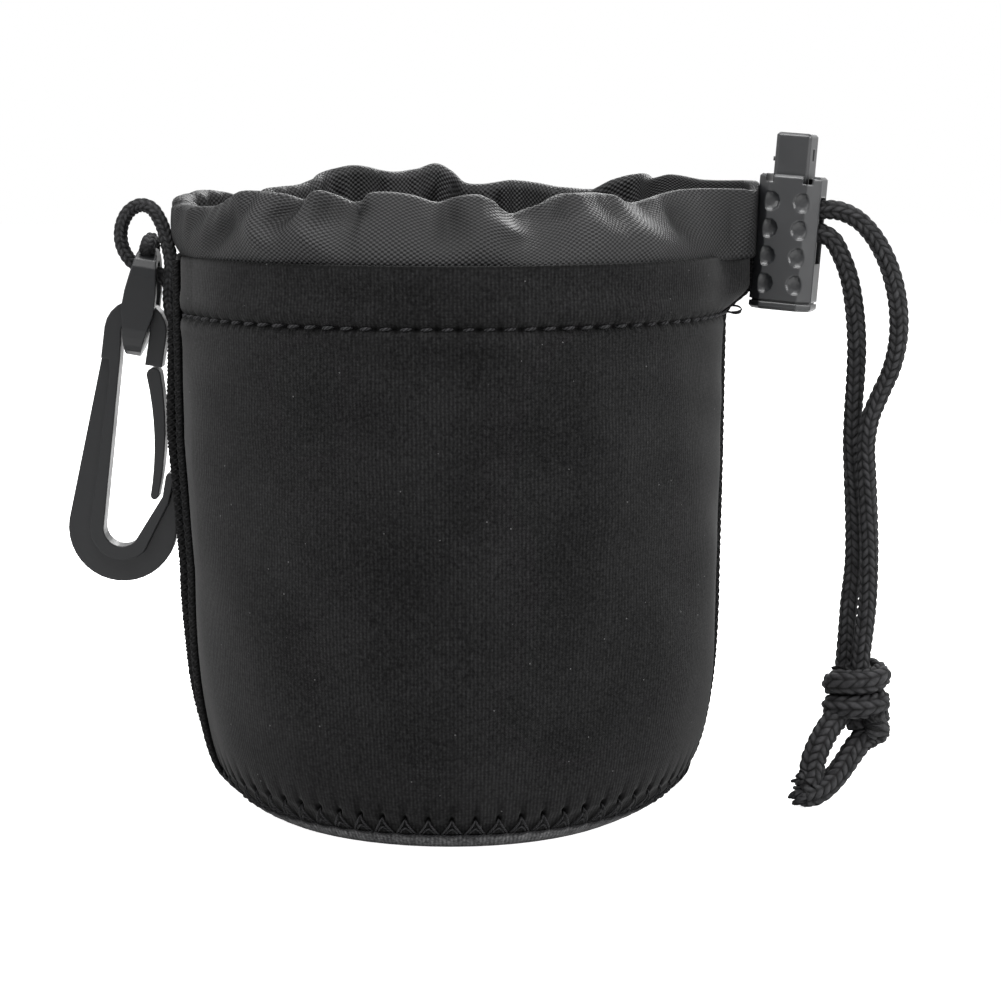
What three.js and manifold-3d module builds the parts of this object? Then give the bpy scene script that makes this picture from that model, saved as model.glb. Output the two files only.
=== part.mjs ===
// Drawstring lens pouch: a neoprene cup of two panels and a base, a gathered nylon collar,
// a drawcord with a sprung cord lock, and a plastic snap hook on a short cord loop.
// Millimetres, +Z up, +X to the right. The origin is the centre of the flat underside.

import * as THREE from 'three';
import { mergeVertices } from 'three/addons/utils/BufferGeometryUtils.js';
import Module from 'manifold-3d';

const wasm = await Module();
wasm.setup();

// Shared clearances
const seat = 0.3; // what lies against what
const overrun = 2; // how far a cutter runs past the piece it cuts
const full = 2 * Math.PI;

// Cup: outer radius at the hem and at the base seam, and the heights of both
const hemRadius = 50.5;
const hemHeight = 103.5;
const baseSeamRadius = 44.5;
const baseSeamHeight = 3.8;
const clothWall = 3.3;
const hemLip = 1.3;
const hemLipHeight = 4.5;
const panelSteps = 26;
const panelEase = 1.25; // steps crowd towards the drawn side
// How the side swells between base seam and hem: share of height, share of radius gained
const sideShares = [
  [0, 0], [0.06, 0.25], [0.14, 0.45], [0.24, 0.64], [0.41, 0.8], [0.6, 0.9], [0.8, 0.95], [1, 1],
];
// The drawn cord pulls the hem outwards at the lock
const hemPull = 3.4;
const hemPullSpread = 8;
const hemPullDepth = 13.5; // how far below the hem it reaches
const hemPullShares = [0, 0.11, 0.44, 1]; // of the pull, at even steps up to the hem
const hemPullRows = hemPullShares.map((pull, i) => {
  const below = 1 - i / (hemPullShares.length - 1);
  return [hemHeight - hemPullDepth * below, pull];
});

// Base disc
const baseThickness = 3.5;
const baseEdgeCurve = 4.2;
const baseEdgeRadius = baseSeamRadius - seat;
const baseFlatRadius = baseEdgeRadius - baseEdgeCurve;
const baseSides = 64;
const baseCurveShares = [[0.55, 0.16], [0.9, 0.6], [1, 0.85]];

// Side seams: angle from +X, and the ridge of thread that covers each
const rightSeamAngle = 0;
const leftSeamAngle = THREE.MathUtils.degToRad(198.5);
const seamGap = 0.5;
const ridgeWidth = 3;
const ridgeHeight = 1.5;
const rightRidgeHeight = 1.9;
const ridgeBelowHem = 0.6;
const ridgeLoopPitch = 4.4;
const ridgeLoopShare = 0.7;
const leftRidgeFoot = 1.4;

// Band of thread around the base seam
const baseBandLow = 1.1;
const baseBandHigh = 6.6;
const baseBandThickness = 0.9;
const baseBandPitch = 5.6;
const baseBandLoopShare = 0.6;
const ridgeClearance = 0.6;

// Belt loop: a strip beside the left seam, open behind between its two sewn ends
const beltWidth = 32;
const beltThickness = 1.8;
const beltNearAngle = THREE.MathUtils.degToRad(189.5);
const beltBelowHem = 10.5;
const beltTop = hemHeight - beltBelowHem;
const beltFoot = 7.2;
const beltClearance = 0.35;
const beltBow = 0.95;
// How the strip bows off the cup: share of its height, share of the bow
const beltBowShares = [
  [0, 0], [0.0385, 0], [0.085, 0], [0.149, 0], [0.3, 0.05], [0.44, 0.21], [0.615, 0.475], [0.755, 1],
  [0.895, 1], [0.965, 0.475], [1, 0],
];
const beltProfile = beltBowShares.map(([height, bow]) => [
  beltFoot + (beltTop - beltFoot) * height, beltThickness + beltClearance + beltBow * bow,
]);
const beltEdgeWidth = 1.7;

// Collar of thin nylon, folded over the drawcord at its rim
const collarSheet = 1;
const channelBore = 2.6;
const spoutBore = 0.8; // at the drawn end, where the layers lie flat
const collarFlap = 6;
const collarBulge = 1.2;
const collarColumns = 54;
const rimOverhang = 3.5; // past the hem at the drawn end
const rimInset = 10.5; // short of the hem in front and behind
const rimReach = hemRadius + rimOverhang;
const rimSpread = hemRadius - rimInset;
// Rim in plan, from the lock end around the front: shares of reach and spread
const rimShares = [
  [0.99, 0.06], [0.965, -0.07], [0.89, -0.15], [0.76, -0.29], [0.6, -0.52], [0.38, -0.79], [0.12, -0.96],
  [-0.18, -0.98], [-0.48, -0.84], [-0.72, -0.58], [-0.865, -0.28], [-0.9, 0], [-0.865, 0.28],
  [-0.72, 0.58], [-0.48, 0.84], [-0.18, 0.98], [0.12, 0.97], [0.38, 0.82], [0.6, 0.6], [0.76, 0.43],
  [0.89, 0.29], [0.965, 0.2],
];
const rimFrontRise = 6.1;
const rimBackRise = 10.7;
const foldHeight = 1.5;
const foldDepth = 1.6;
const foldCount = 11;
const foldStartShare = 0.09;
const openStrength = 0.3; // of the folds, below which the layers lie open for the cord

// Drawcord
const cordDiameter = 3.5;
const cordSides = 8;
const cordAboveHem = 4;
const cordSpacing = 4.1;
const lowerCordHeight = hemHeight + cordAboveHem;
const upperCordHeight = lowerCordHeight + cordSpacing;

// Cord lock: barrel, plunger and spring, in the lock's own frame with the barrel's foot at zero
const lockReach = 11.2; // from the hem out to the lock's axis
const lockBelowHem = 10.6;
const lockFoot = new THREE.Vector3(hemRadius + lockReach, 0, hemHeight - lockBelowHem);
const lockLean = THREE.MathUtils.degToRad(4.5);
const lockTurn = THREE.MathUtils.degToRad(-18);
const barrelWidth = 11.8;
const barrelDepth = 10;
const barrelHeight = 25.2;
const barrelCorner = 2.3;
const barrelBevel = 0.5;
const barrelFloor = 1.6;
const boreWidth = 7.2;
const boreDepth = 7.6;
const slotFoot = 9;
const slotHeight = 12.4;
const slotWidth = 4.3;
const plungerWidth = 6.6;
const plungerDepth = 7;
const plungerTop = 33;
const plungerBar = 2.1;
const plungerTravel = 3.7;
const dimpleRows = 4;
const dimplePitch = 5.1;
const dimpleFoot = 4.9;
const dimpleSpacing = 6.2;
const dimpleRadius = 1.9;
const dimpleDepth = 0.75;
const rimNotchWidth = 1.6;
const rimNotchDepth = 1.5;
const footGrooveHeight = 1.4;
const footGrooveWidth = 0.4;
const footGrooveDepth = 0.4;
const springRadius = 2.2;
const springWire = 0.6;
const springTurns = 6;
const capWindowHeight = 2.2;
const capWindowWidth = 1.4;
const capWindowDepth = 0.8;
const capWindowTop = 30.2;
const lugSize = 0.8;
const lugHeight = 28;

// Snap hook, in a leaning frame: u across, v up, with the foot of the link near zero
const hookReach = 9.9; // from the hem out to the link
const hookBelowHem = 17.7;
const hookOffset = 1.6;
const hookOrigin = new THREE.Vector3(-hemRadius - hookReach, hookOffset, hemHeight - hookBelowHem);
const hookLean = THREE.MathUtils.degToRad(9.5);
const hookFlangeThickness = 5.2;
const hookWebThickness = 2.8;
const hookFlangeWidth = 2.6;
const bowRadius = 10.3;
const bowCentreU = 2.7;
const bowCentreV = -34.6;
const bowInnerRadius = 3.5;
const spineTopU = -6;
const spineInnerTopU = -2.4;
const spineStepV = -3;
const archRadius = 5.9;
const archCentreU = -0.3;
const archCentreV = 3;
const archInnerRadius = 2.7;
const archInnerV = 2.9;
const noseOuterU = 11.1;
const noseInnerU = 9.4;
const noseTopV = -22.6;
const noseFootV = -27.3;
const gateRootU = 4.25;
const gateRootV = -4.65;
const gateRootRadius = 1.35;
const gateTipU = 7.85;
const gateTipV = -27.4;
const gateTipRadius = 0.75;
const gateBow = 1.1;
const gateThickness = 4.6;

// Link between cord loop and hook: a ring on edge, almond shaped from the front
const linkFoot = -1.8;
const linkTop = 18.9;
const linkHoleTop = 16.2;
const linkHoleWidth = 6.2;
const linkHoleCorner = 0.4;
const linkOuterWidth = 10.6;
const linkHalfWidth = 3.1;
// The link seen from the front: share of its height, share of its half width
const linkShares = [
  [0, 0.42], [0.08, 0.55], [0.24, 0.74], [0.42, 1], [0.6, 0.95], [0.82, 0.74], [0.94, 0.61], [1, 0.45],
];
const linkSkewU = -0.25;
const linkEyeV = 14.6;
const eyeBore = 1.75;
const eyeFlare = 3.3;
const hitchDiameter = 2.1;
const hitchArc = 100; // degrees
const hitchFlatten = 1.6;

// Cord of the hook's loop
const loopDiameter = 2.6;
const loopSides = 8;

const black = (name, color, roughness, metalness = 0) =>
  new THREE.MeshStandardMaterial({ name, color, roughness, metalness });
const neoprene = black('neoprene', 0x141416, 0.95);
const nylon = black('nylon', 0x2a2a2c, 0.7);
const thread = black('thread', 0x19191b, 0.85);
const cordBraid = black('cord_braid', 0x1a1a1b, 0.85);
const plastic = black('plastic', 0x2b2d2f, 0.45);
const steel = black('spring_steel', 0x9a9a9c, 0.35, 1);

const pouch = new THREE.Group();

function addPiece(parent, name, geometry, material) {
  const mesh = new THREE.Mesh(geometry, material);
  mesh.name = name;
  parent.add(mesh);
  return mesh;
}

// Closed solid from a three.js geometry, for joins and cuts
function solidOf(geometry) {
  const bare = geometry.index ? geometry.toNonIndexed() : geometry.clone();
  bare.deleteAttribute('normal');
  bare.deleteAttribute('uv');
  const merged = mergeVertices(bare, 1e-4);
  return new wasm.Manifold(new wasm.Mesh({
    numProp: 3,
    vertProperties: new Float32Array(merged.attributes.position.array),
    triVerts: new Uint32Array(merged.index.array),
  }));
}

function geometryOf(solid) {
  const mesh = solid.getMesh();
  const geometry = new THREE.BufferGeometry();
  geometry.setAttribute('position', new THREE.BufferAttribute(mesh.vertProperties, 3));
  geometry.setIndex(new THREE.BufferAttribute(mesh.triVerts, 1));
  geometry.computeVertexNormals();
  return geometry;
}

// Skin over rings of points: each ring is a closed section. Its ends are capped unless it closes on itself
function loft(rings, closed = false) {
  const count = rings[0].length;
  const position = rings.flat().flatMap((p) => [p.x, p.y, p.z]);
  const index = [];
  const spans = closed ? rings.length : rings.length - 1;
  for (let i = 0; i < spans; i += 1) {
    const here = i * count;
    const next = ((i + 1) % rings.length) * count;
    for (let j = 0; j < count; j += 1) {
      const k = (j + 1) % count;
      index.push(here + j, here + k, next + k, here + j, next + k, next + j);
    }
  }
  if (!closed) {
    capRing(rings[0], 0, index, false);
    capRing(rings[rings.length - 1], (rings.length - 1) * count, index, true);
  }
  const geometry = new THREE.BufferGeometry();
  geometry.setAttribute('position', new THREE.Float32BufferAttribute(position, 3));
  geometry.setIndex(index);
  return outward(geometry);
}

// Flat cap over one ring, cut into triangles in the ring's own plane
function capRing(ring, offset, index, flip) {
  const normal = new THREE.Vector3();
  ring.forEach((p, i) => normal.add(p.clone().cross(ring[(i + 1) % ring.length])));
  normal.normalize();
  const side = new THREE.Vector3(0, 0, 1);
  if (Math.abs(normal.z) > 0.9) side.set(1, 0, 0);
  const across = side.clone().cross(normal).normalize();
  const up = normal.clone().cross(across);
  const flat = ring.map((p) => new THREE.Vector2(p.dot(across), p.dot(up)));
  for (const [a, b, c] of THREE.ShapeUtils.triangulateShape(flat, [])) {
    if (flip) index.push(offset + a, offset + b, offset + c);
    else index.push(offset + a, offset + c, offset + b);
  }
}

// Turns every face out, by the sign of the volume that the faces enclose
function outward(geometry) {
  const p = geometry.attributes.position;
  const index = geometry.index.array;
  const corner = (k) => new THREE.Vector3().fromBufferAttribute(p, index[k]);
  let volume = 0;
  for (let k = 0; k < index.length; k += 3) {
    volume += corner(k).dot(corner(k + 1).cross(corner(k + 2)));
  }
  if (volume < 0) {
    for (let k = 0; k < index.length; k += 3) {
      [index[k + 1], index[k + 2]] = [index[k + 2], index[k + 1]];
    }
  }
  geometry.computeVertexNormals();
  return geometry;
}

// Outline in (u, v) extruded to a thickness centred on the plane, then stood upright: u is X and v is Z
function upright(shape, thickness, bevel = 0) {
  const geometry = new THREE.ExtrudeGeometry(shape, {
    depth: thickness - 2 * bevel,
    bevelEnabled: bevel > 0,
    bevelThickness: bevel,
    bevelSize: bevel,
    bevelOffset: -bevel,
    bevelSegments: 1,
    curveSegments: 8,
  });
  geometry.translate(0, 0, bevel - thickness / 2);
  return geometry.rotateX(Math.PI / 2);
}

function box(width, depth, height, x, y, z) {
  return new THREE.BoxGeometry(width, depth, height).translate(x, y, z);
}

// Tube of round section along a curve through points
function tube(points, diameter, sides, step) {
  const path = new THREE.CatmullRomCurve3(points, false, 'centripetal');
  const section = new THREE.Shape();
  for (let i = 0; i < sides; i += 1) {
    const angle = (i / sides) * full;
    const place = [0.5 * diameter * Math.cos(angle), 0.5 * diameter * Math.sin(angle)];
    if (i === 0) section.moveTo(...place);
    else section.lineTo(...place);
  }
  section.closePath();
  return new THREE.ExtrudeGeometry(section, {
    steps: Math.round(path.getLength() / step),
    bevelEnabled: false,
    extrudePath: path,
  });
}

const polar = (radius, angle, z) => new THREE.Vector3(radius * Math.cos(angle), radius * Math.sin(angle), z);

// Value of a table of [place, value] rows at a place, smoothly between rows
function smoothTable(rows) {
  return (place) => {
    let i = 1;
    while (i < rows.length - 1 && rows[i][0] < place) i += 1;
    const [a, va] = rows[i - 1];
    const [b, vb] = rows[i];
    const slope = (k) => {
      const low = rows[Math.max(k - 1, 0)];
      const high = rows[Math.min(k + 1, rows.length - 1)];
      return (high[1] - low[1]) / (high[0] - low[0]);
    };
    const t = Math.min(Math.max((place - a) / (b - a), 0), 1);
    const span = b - a;
    const t2 = t * t;
    const t3 = t2 * t;
    return (2 * t3 - 3 * t2 + 1) * va + (t3 - 2 * t2 + t) * span * slope(i - 1)
      + (3 * t2 - 2 * t3) * vb + (t3 - t2) * span * slope(i);
  };
}

const sideSwell = smoothTable(sideShares);
const beltStand = smoothTable(beltProfile);

// Outer radius of the cup at an angle and height
function cupRadius(angle, z) {
  const share = (z - baseSeamHeight) / (hemHeight - baseSeamHeight);
  const round = baseSeamRadius + (hemRadius - baseSeamRadius) * sideSwell(share);
  let lift = z > hemHeight ? 1 : 0;
  for (let i = 1; i < hemPullRows.length; i += 1) {
    const [low, from] = hemPullRows[i - 1];
    const [high, to] = hemPullRows[i];
    if (z > low && z <= high) lift = from + ((to - from) * (z - low)) / (high - low);
  }
  const turn = Math.atan2(Math.sin(angle), Math.cos(angle));
  const along = (turn * hemRadius) / hemPullSpread;
  return round + hemPull * lift * Math.exp(-along * along);
}

// Cup wall from the left seam to the drawn side: its outline in section, thinned to a lip at the hem
function cupPanel(from, to) {
  const levels = sideShares.map(([share]) => baseSeamHeight + share * (hemHeight - baseSeamHeight));
  levels.splice(levels.length - 1, 1, ...hemPullRows.map(([z]) => z));
  const rings = [];
  for (let i = 0; i <= panelSteps; i += 1) {
    const angle = to + (from - to) * (i / panelSteps) ** panelEase;
    const outer = levels.map((z) => polar(cupRadius(angle, z), angle, z));
    const inner = levels.map((z) => polar(cupRadius(angle, z) - (z < hemHeight ? clothWall : hemLip), angle, z));
    rings.push([...outer, ...inner.reverse()]);
  }
  return loft(rings);
}

function basePanel() {
  const rise = baseThickness;
  const reach = baseEdgeRadius - baseFlatRadius;
  const curve = baseCurveShares.map(([r, z]) => new THREE.Vector2(baseFlatRadius + reach * r, rise * z));
  return new THREE.LatheGeometry([
    new THREE.Vector2(0, 0), new THREE.Vector2(baseFlatRadius, 0), ...curve,
    new THREE.Vector2(baseEdgeRadius, rise), new THREE.Vector2(0, rise),
  ], baseSides).rotateX(Math.PI / 2);
}

// Ridge of overlock loops standing on the cup along a seam. Each loop swells and thins the section
function seamRidge(angle, foot, top, width, height) {
  const loops = Math.round((top - foot) / ridgeLoopPitch);
  const rings = [];
  for (let i = 0; i <= 2 * loops; i += 1) {
    const z = foot + ((top - foot) * i) / (2 * loops);
    const size = i % 2 ? 1 : ridgeLoopShare;
    const base = Math.max(cupRadius(angle, z), z < baseSeamHeight ? baseSeamRadius : 0) + seat;
    const half = (0.5 * width * size) / base;
    const tall = height * size;
    rings.push([
      polar(base, angle - half, z), polar(base + 0.6 * tall, angle - half, z),
      polar(base + tall, angle - 0.5 * half, z), polar(base + tall, angle + 0.5 * half, z),
      polar(base + 0.6 * tall, angle + half, z), polar(base, angle + half, z),
    ]);
  }
  return loft(rings);
}

// Band of thread loops round the foot of the cup, open where the left seam's ridge passes
function baseBand() {
  const gap = (0.5 * ridgeWidth + ridgeClearance) / baseSeamRadius;
  const from = leftSeamAngle + gap;
  const to = leftSeamAngle + full - gap;
  const loops = Math.round(((to - from) * baseSeamRadius) / baseBandPitch);
  const heights = [baseBandLow, baseSeamHeight, baseBandHigh];
  const rings = [];
  for (let i = 0; i <= 2 * loops; i += 1) {
    const angle = from + ((to - from) * i) / (2 * loops);
    const thick = baseBandThickness * (i % 2 ? 1 : baseBandLoopShare);
    const inner = heights.map((z) => polar(Math.max(cupRadius(angle, z), baseSeamRadius) + seat, angle, z));
    const outer = heights.map((z) => polar(Math.max(cupRadius(angle, z), baseSeamRadius) + seat + thick, angle, z));
    rings.push([...outer, ...inner.reverse()]);
  }
  return loft(rings);
}

// Belt loop strip between two angles, bowed off the cup between its sewn ends
function beltStrip(nearAngle, farAngle) {
  const across = 8;
  const rings = beltProfile.map(([z, stand]) => {
    const radius = cupRadius(leftSeamAngle, z) + stand;
    const arc = (r, k) => polar(r, nearAngle + ((farAngle - nearAngle) * k) / across, z);
    const outer = Array.from({ length: across + 1 }, (_, k) => arc(radius, k));
    const inner = Array.from({ length: across + 1 }, (_, k) => arc(radius - beltThickness, across - k));
    return [...outer, ...inner];
  });
  return loft(rings);
}

// Overlocked edge of the belt loop, a ridge of loops along the strip's side
function beltEdge(angle, side) {
  const loops = Math.round((beltTop - beltFoot) / ridgeLoopPitch);
  const rings = [];
  for (let i = 0; i <= 2 * loops; i += 1) {
    const z = beltFoot + ((beltTop - beltFoot) * i) / (2 * loops);
    const size = i % 2 ? 1 : ridgeLoopShare;
    const middle = cupRadius(leftSeamAngle, z) + beltStand(z) - beltThickness / 2;
    const inner = angle + (side * seat) / middle;
    const outer = inner + (side * beltEdgeWidth * size) / middle;
    const half = 0.5 * beltThickness;
    const low = middle - half * size;
    const high = middle + half * size;
    rings.push([
      polar(low, inner, z), polar(high, inner, z), polar(high, 0.4 * inner + 0.6 * outer, z),
      polar(middle, outer, z), polar(low, 0.4 * inner + 0.6 * outer, z),
    ]);
  }
  return loft(rings);
}

// Rim of the collar: a closed curve in plan, with a height that rises to the back and waves in between
const rimPlan = new THREE.CatmullRomCurve3(
  rimShares.map(([x, y]) => new THREE.Vector3(x * rimReach, y * rimSpread, 0)), true, 'centripetal');

function foldEnvelope(share) {
  const fromLock = Math.min(share, 1 - share);
  return Math.min(Math.max((fromLock - foldStartShare) / foldStartShare, 0), 1);
}

function rimPoint(share) {
  const plan = rimPlan.getPointAt(share);
  const ahead = rimPlan.getTangentAt(share);
  const out = new THREE.Vector3(-ahead.y, ahead.x, 0).normalize();
  if (out.dot(plan) < 0) out.negate();
  const phase = share * foldCount * full;
  const strength = foldEnvelope(share);
  const back = 0.5 + 0.5 * plan.y / rimSpread;
  const centre = plan.clone().addScaledVector(out, foldDepth * strength * Math.sin(phase));
  const level = hemHeight + rimFrontRise + (rimBackRise - rimFrontRise) * back;
  centre.z = level + foldHeight * strength * Math.cos(phase + back);
  return { centre, out, strength };
}

// Nylon collar: each column's section runs up inside the hem, bulges, turns over the cord and ends in a flap
function collarShell() {
  const rings = [];
  for (let i = 0; i < collarColumns; i += 1) {
    const share = i / collarColumns;
    const angle = -share * full;
    const { centre, out, strength } = rimPoint(share);
    const up = new THREE.Vector3(0, 0, 1);
    const inner = clothWall + 2 * seat + collarSheet;
    const hidden = hemPullRows.slice(0, -1).map(([z]) => [cupRadius(angle, z) - inner, z]);
    const bore = spoutBore + (channelBore - spoutBore) * Math.min(strength / openStrength, 1);
    const throat = cupRadius(angle, hemHeight) - hemLip - 2 * seat - collarSheet;
    const lip = polar(1, angle, 0);
    const bulge = (offset) => {
      const low = polar(throat, angle, hemHeight + seat);
      const high = centre.clone().addScaledVector(out, bore);
      return low.lerp(high, 0.5).addScaledVector(out, collarBulge + offset);
    };
    // Near the lock the channel is open inwards, so that the cord can leave it
    const closed = Math.min(Math.max(strength / openStrength - 1, 0), 1);
    const turn = (Math.PI / 2) * (1 + closed);
    const flap = collarFlap * closed + collarSheet / 2;
    const side = (offset) => {
      const radius = bore + offset;
      const arc = Array.from({ length: 5 }, (_, k) => {
        const a = (turn * k) / 4;
        return centre.clone().addScaledVector(out, radius * Math.cos(a)).addScaledVector(up, radius * Math.sin(a));
      });
      const end = arc[4].clone()
        .addScaledVector(out, -flap * Math.sin(turn)).addScaledVector(up, flap * Math.cos(turn));
      return [
        ...hidden.map(([radius, z]) => lip.clone().multiplyScalar(radius + offset).setZ(z)),
        lip.clone().multiplyScalar(throat + offset).setZ(hemHeight),
        bulge(offset), ...arc, end,
      ];
    };
    rings.push([...side(collarSheet), ...side(0).reverse()]);
  }
  return loft(rings, true);
}

// Drawcord in its channel: it follows the rim, and leaves it near the lock towards the slot
const slideDirection = new THREE.Vector3(Math.cos(lockTurn), Math.sin(lockTurn), 0);
const lockAxis = new THREE.Vector3(Math.sin(lockLean), 0, Math.cos(lockLean));
const cordStart = 16.4; // from the lock's axis back into the collar
const cordExit = 5.9; // from the lock's axis to the face where the free cord leaves
const channelRuns = 44;
const channelStartShare = 0.12;
const leadStraight = 3.4; // of the cord beyond the end of the free legs
// Where the two ends of the run turn out of the rim: shares of reach, and of spread for lower and upper
const leadShares = [[0.752, 0.045, 0.215], [0.7075, -0.11, 0.36]];

function slotPoint(height, along) {
  const rise = (height - lockFoot.z) / lockAxis.z;
  return lockFoot.clone().addScaledVector(lockAxis, rise).addScaledVector(slideDirection, along);
}

function channelCord() {
  const lead = (height, end) => [
    slotPoint(height, -cordStart - seat), slotPoint(height, -cordStart - leadStraight),
    ...leadShares.map((row) => new THREE.Vector3(row[0] * rimReach, row[end] * rimSpread, height)),
  ];
  const points = lead(lowerCordHeight, 1);
  for (let i = 0; i <= channelRuns; i += 1) {
    points.push(rimPoint(channelStartShare + ((1 - 2 * channelStartShare) * i) / channelRuns).centre);
  }
  points.push(...lead(upperCordHeight, 2).reverse());
  return tube(points, cordDiameter, cordSides, 1.25 * cordDiameter);
}

// Free legs of the drawcord: points chosen along each, from the slot down to the knot, off the lock's foot
const offLock = (p) => lockFoot.clone().add(new THREE.Vector3(...p));
const upperLegRoute = [
  [9.9, -3.3, 18.6], [13.1, -4.2, 17.2], [15.9, -4.8, 14.5], [18.5, -5.2, 10.2], [20.3, -5.3, 5.2],
  [21.2, -5.4, 0.1], [21.2, -5.5, -5.5], [20, -5.6, -11], [18, -5.8, -15.6], [16.2, -6, -20.2],
  [15.5, -6.1, -24.9], [15.8, -6.2, -30.5], [16.2, -6.3, -37.9], [16, -6.4, -45.4], [15.3, -6.5, -54.7],
  [15, -6.4, -62.2], [14.9, -6.2, -68.7],
];
const lowerLegRoute = [
  [8.9, -2.9, 13.2], [10.7, -3, 10.1], [12.2, -2.8, 6.1], [13.2, -2.5, 1.3], [13.9, -2.3, -6.1],
  [13.8, -2.3, -12.9], [13.5, -2.4, -18.3], [13.2, -2.5, -24.9], [13.3, -2.5, -31.4], [13.1, -2.6, -39.9],
  [12.7, -2.7, -47.9], [12.2, -2.7, -55.9], [12, -2.8, -62.4], [12.1, -3, -68.7],
];

function cordLeg(height, route) {
  const points = [
    slotPoint(height, -cordStart), slotPoint(height, -0.5 * cordStart), slotPoint(height, 0),
    slotPoint(height, cordExit), ...route.map(offLock),
  ];
  return tube(points, cordDiameter, cordSides, 1.6 * cordDiameter);
}

// Knot that joins the two legs: two wraps of cord around a core, with a lobe below
const knotCentre = offLock([14.1, -4.6, -75.7]);
const knotWrapRadius = 3.6;
const knotLean = THREE.MathUtils.degToRad(8);
const knotWrapShares = [0.313, 0.067]; // of the knot's height, up from its centre
const knotCoreRadius = 4.2;
const knotHeight = 13.4;
const knotLobe = new THREE.Vector3(1.8, 0, -3.6);

function knotSolid() {
  const core = new THREE.CapsuleGeometry(knotCoreRadius, knotHeight - 2 * knotCoreRadius, 4, 12);
  core.rotateX(Math.PI / 2);
  let knot = solidOf(core);
  for (const share of knotWrapShares) {
    const wrap = new THREE.TorusGeometry(knotWrapRadius, cordDiameter / 2, 7, 16);
    wrap.rotateY(knotLean).translate(0, 0, share * knotHeight);
    knot = knot.add(solidOf(wrap));
  }
  const lobe = new THREE.TorusGeometry(knotWrapRadius - cordDiameter / 4, cordDiameter / 2, 7, 16);
  lobe.rotateY(-3 * knotLean).translate(knotLobe.x, knotLobe.y, knotLobe.z);
  knot = knot.add(solidOf(lobe));
  return geometryOf(knot).translate(knotCentre.x, knotCentre.y, knotCentre.z);
}

const frontTailRoute = [
  [11.98, -7.25, -81.3], [9.9, -9.3, -83.7], [7.7, -10.6, -86.3], [5.7, -11.4, -88.7], [4.2, -11.8, -90.6],
];
const rearTailRoute = [
  [16.17, -5.06, -82.3], [16.6, -5.3, -84], [15.1, -5.8, -86.3], [12.3, -6.3, -88.5], [8.9, -6.8, -90],
  [5.7, -7.2, -90.65],
];

function tailTube(route) {
  return tube(route.map(offLock), cordDiameter, cordSides, 0.8 * cordDiameter);
}

// Cord lock
function chamferedShape(width, depth, corner) {
  const x = width / 2;
  const y = depth / 2;
  const shape = new THREE.Shape();
  shape.moveTo(-x + corner, -y);
  shape.lineTo(x - corner, -y);
  shape.lineTo(x, -y + corner);
  shape.lineTo(x, y - corner);
  shape.lineTo(x - corner, y);
  shape.lineTo(-x + corner, y);
  shape.lineTo(-x, y - corner);
  shape.lineTo(-x, -y + corner);
  shape.closePath();
  return shape;
}

function column(width, depth, corner, foot, top, bevel) {
  const geometry = new THREE.ExtrudeGeometry(chamferedShape(width, depth, corner), {
    depth: top - foot - 2 * bevel,
    bevelEnabled: true,
    bevelThickness: bevel,
    bevelSize: bevel,
    bevelOffset: -bevel,
    bevelSegments: 1,
  });
  return geometry.translate(0, 0, foot + bevel);
}

function lockBarrel() {
  let barrel = solidOf(column(barrelWidth, barrelDepth, barrelCorner, 0, barrelHeight, barrelBevel));
  const boreHeight = barrelHeight - barrelFloor + overrun;
  const bore = box(boreWidth, boreDepth, boreHeight, 0, 0, barrelFloor + boreHeight / 2);
  barrel = barrel.subtract(solidOf(bore));
  const slot = box(barrelWidth + 2 * overrun, slotWidth, slotHeight, 0, 0, slotFoot + slotHeight / 2);
  barrel = barrel.subtract(solidOf(slot));
  for (const face of [-1, 1]) {
    for (const column of [-1, 1]) {
      for (let row = 0; row < dimpleRows; row += 1) {
        const dimple = new THREE.SphereGeometry(dimpleRadius, 10, 6);
        dimple.scale(1, dimpleDepth / dimpleRadius, 1);
        dimple.translate(column * dimpleSpacing / 2, face * barrelDepth / 2, dimpleFoot + row * dimplePitch);
        barrel = barrel.subtract(solidOf(dimple));
      }
    }
  }
  for (const side of [-1, 1]) {
    const notch = box(rimNotchWidth, barrelDepth + 2 * overrun, 2 * rimNotchDepth,
      side * (boreWidth / 2), 0, barrelHeight);
    barrel = barrel.subtract(solidOf(notch));
  }
  const groove = solidOf(column(barrelWidth + overrun, barrelDepth + overrun, barrelCorner,
    footGrooveHeight, footGrooveHeight + footGrooveWidth, footGrooveWidth / 4));
  const neck = solidOf(column(barrelWidth - 2 * footGrooveDepth, barrelDepth - 2 * footGrooveDepth, barrelCorner,
    footGrooveHeight - overrun, footGrooveHeight + footGrooveWidth + overrun, footGrooveWidth / 4));
  return geometryOf(barrel.subtract(groove.subtract(neck)));
}

// The plunger's own slot rides up against the lower cord and clears the upper one by its travel
const plungerSlotFoot = (lowerCordHeight - lockFoot.z) / Math.cos(lockLean) - cordDiameter / 2 - 2 * seat;
const plungerFoot = plungerSlotFoot - plungerBar;

function lockPlunger() {
  let plunger = solidOf(column(plungerWidth, plungerDepth, barrelBevel, plungerFoot, plungerTop, barrelBevel));
  const slot = box(plungerWidth + 2 * overrun, slotWidth, slotHeight, 0, 0, plungerSlotFoot + slotHeight / 2);
  plunger = plunger.subtract(solidOf(slot));
  const windowCut = box(2 * capWindowDepth, capWindowWidth, capWindowHeight,
    plungerWidth / 2, 0, capWindowTop - capWindowHeight / 2);
  plunger = plunger.subtract(solidOf(windowCut));
  const lug = box(2 * lugSize, 2 * lugSize, lugSize, -plungerWidth / 2, 0, lugHeight);
  return geometryOf(plunger.add(solidOf(lug)));
}

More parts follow.
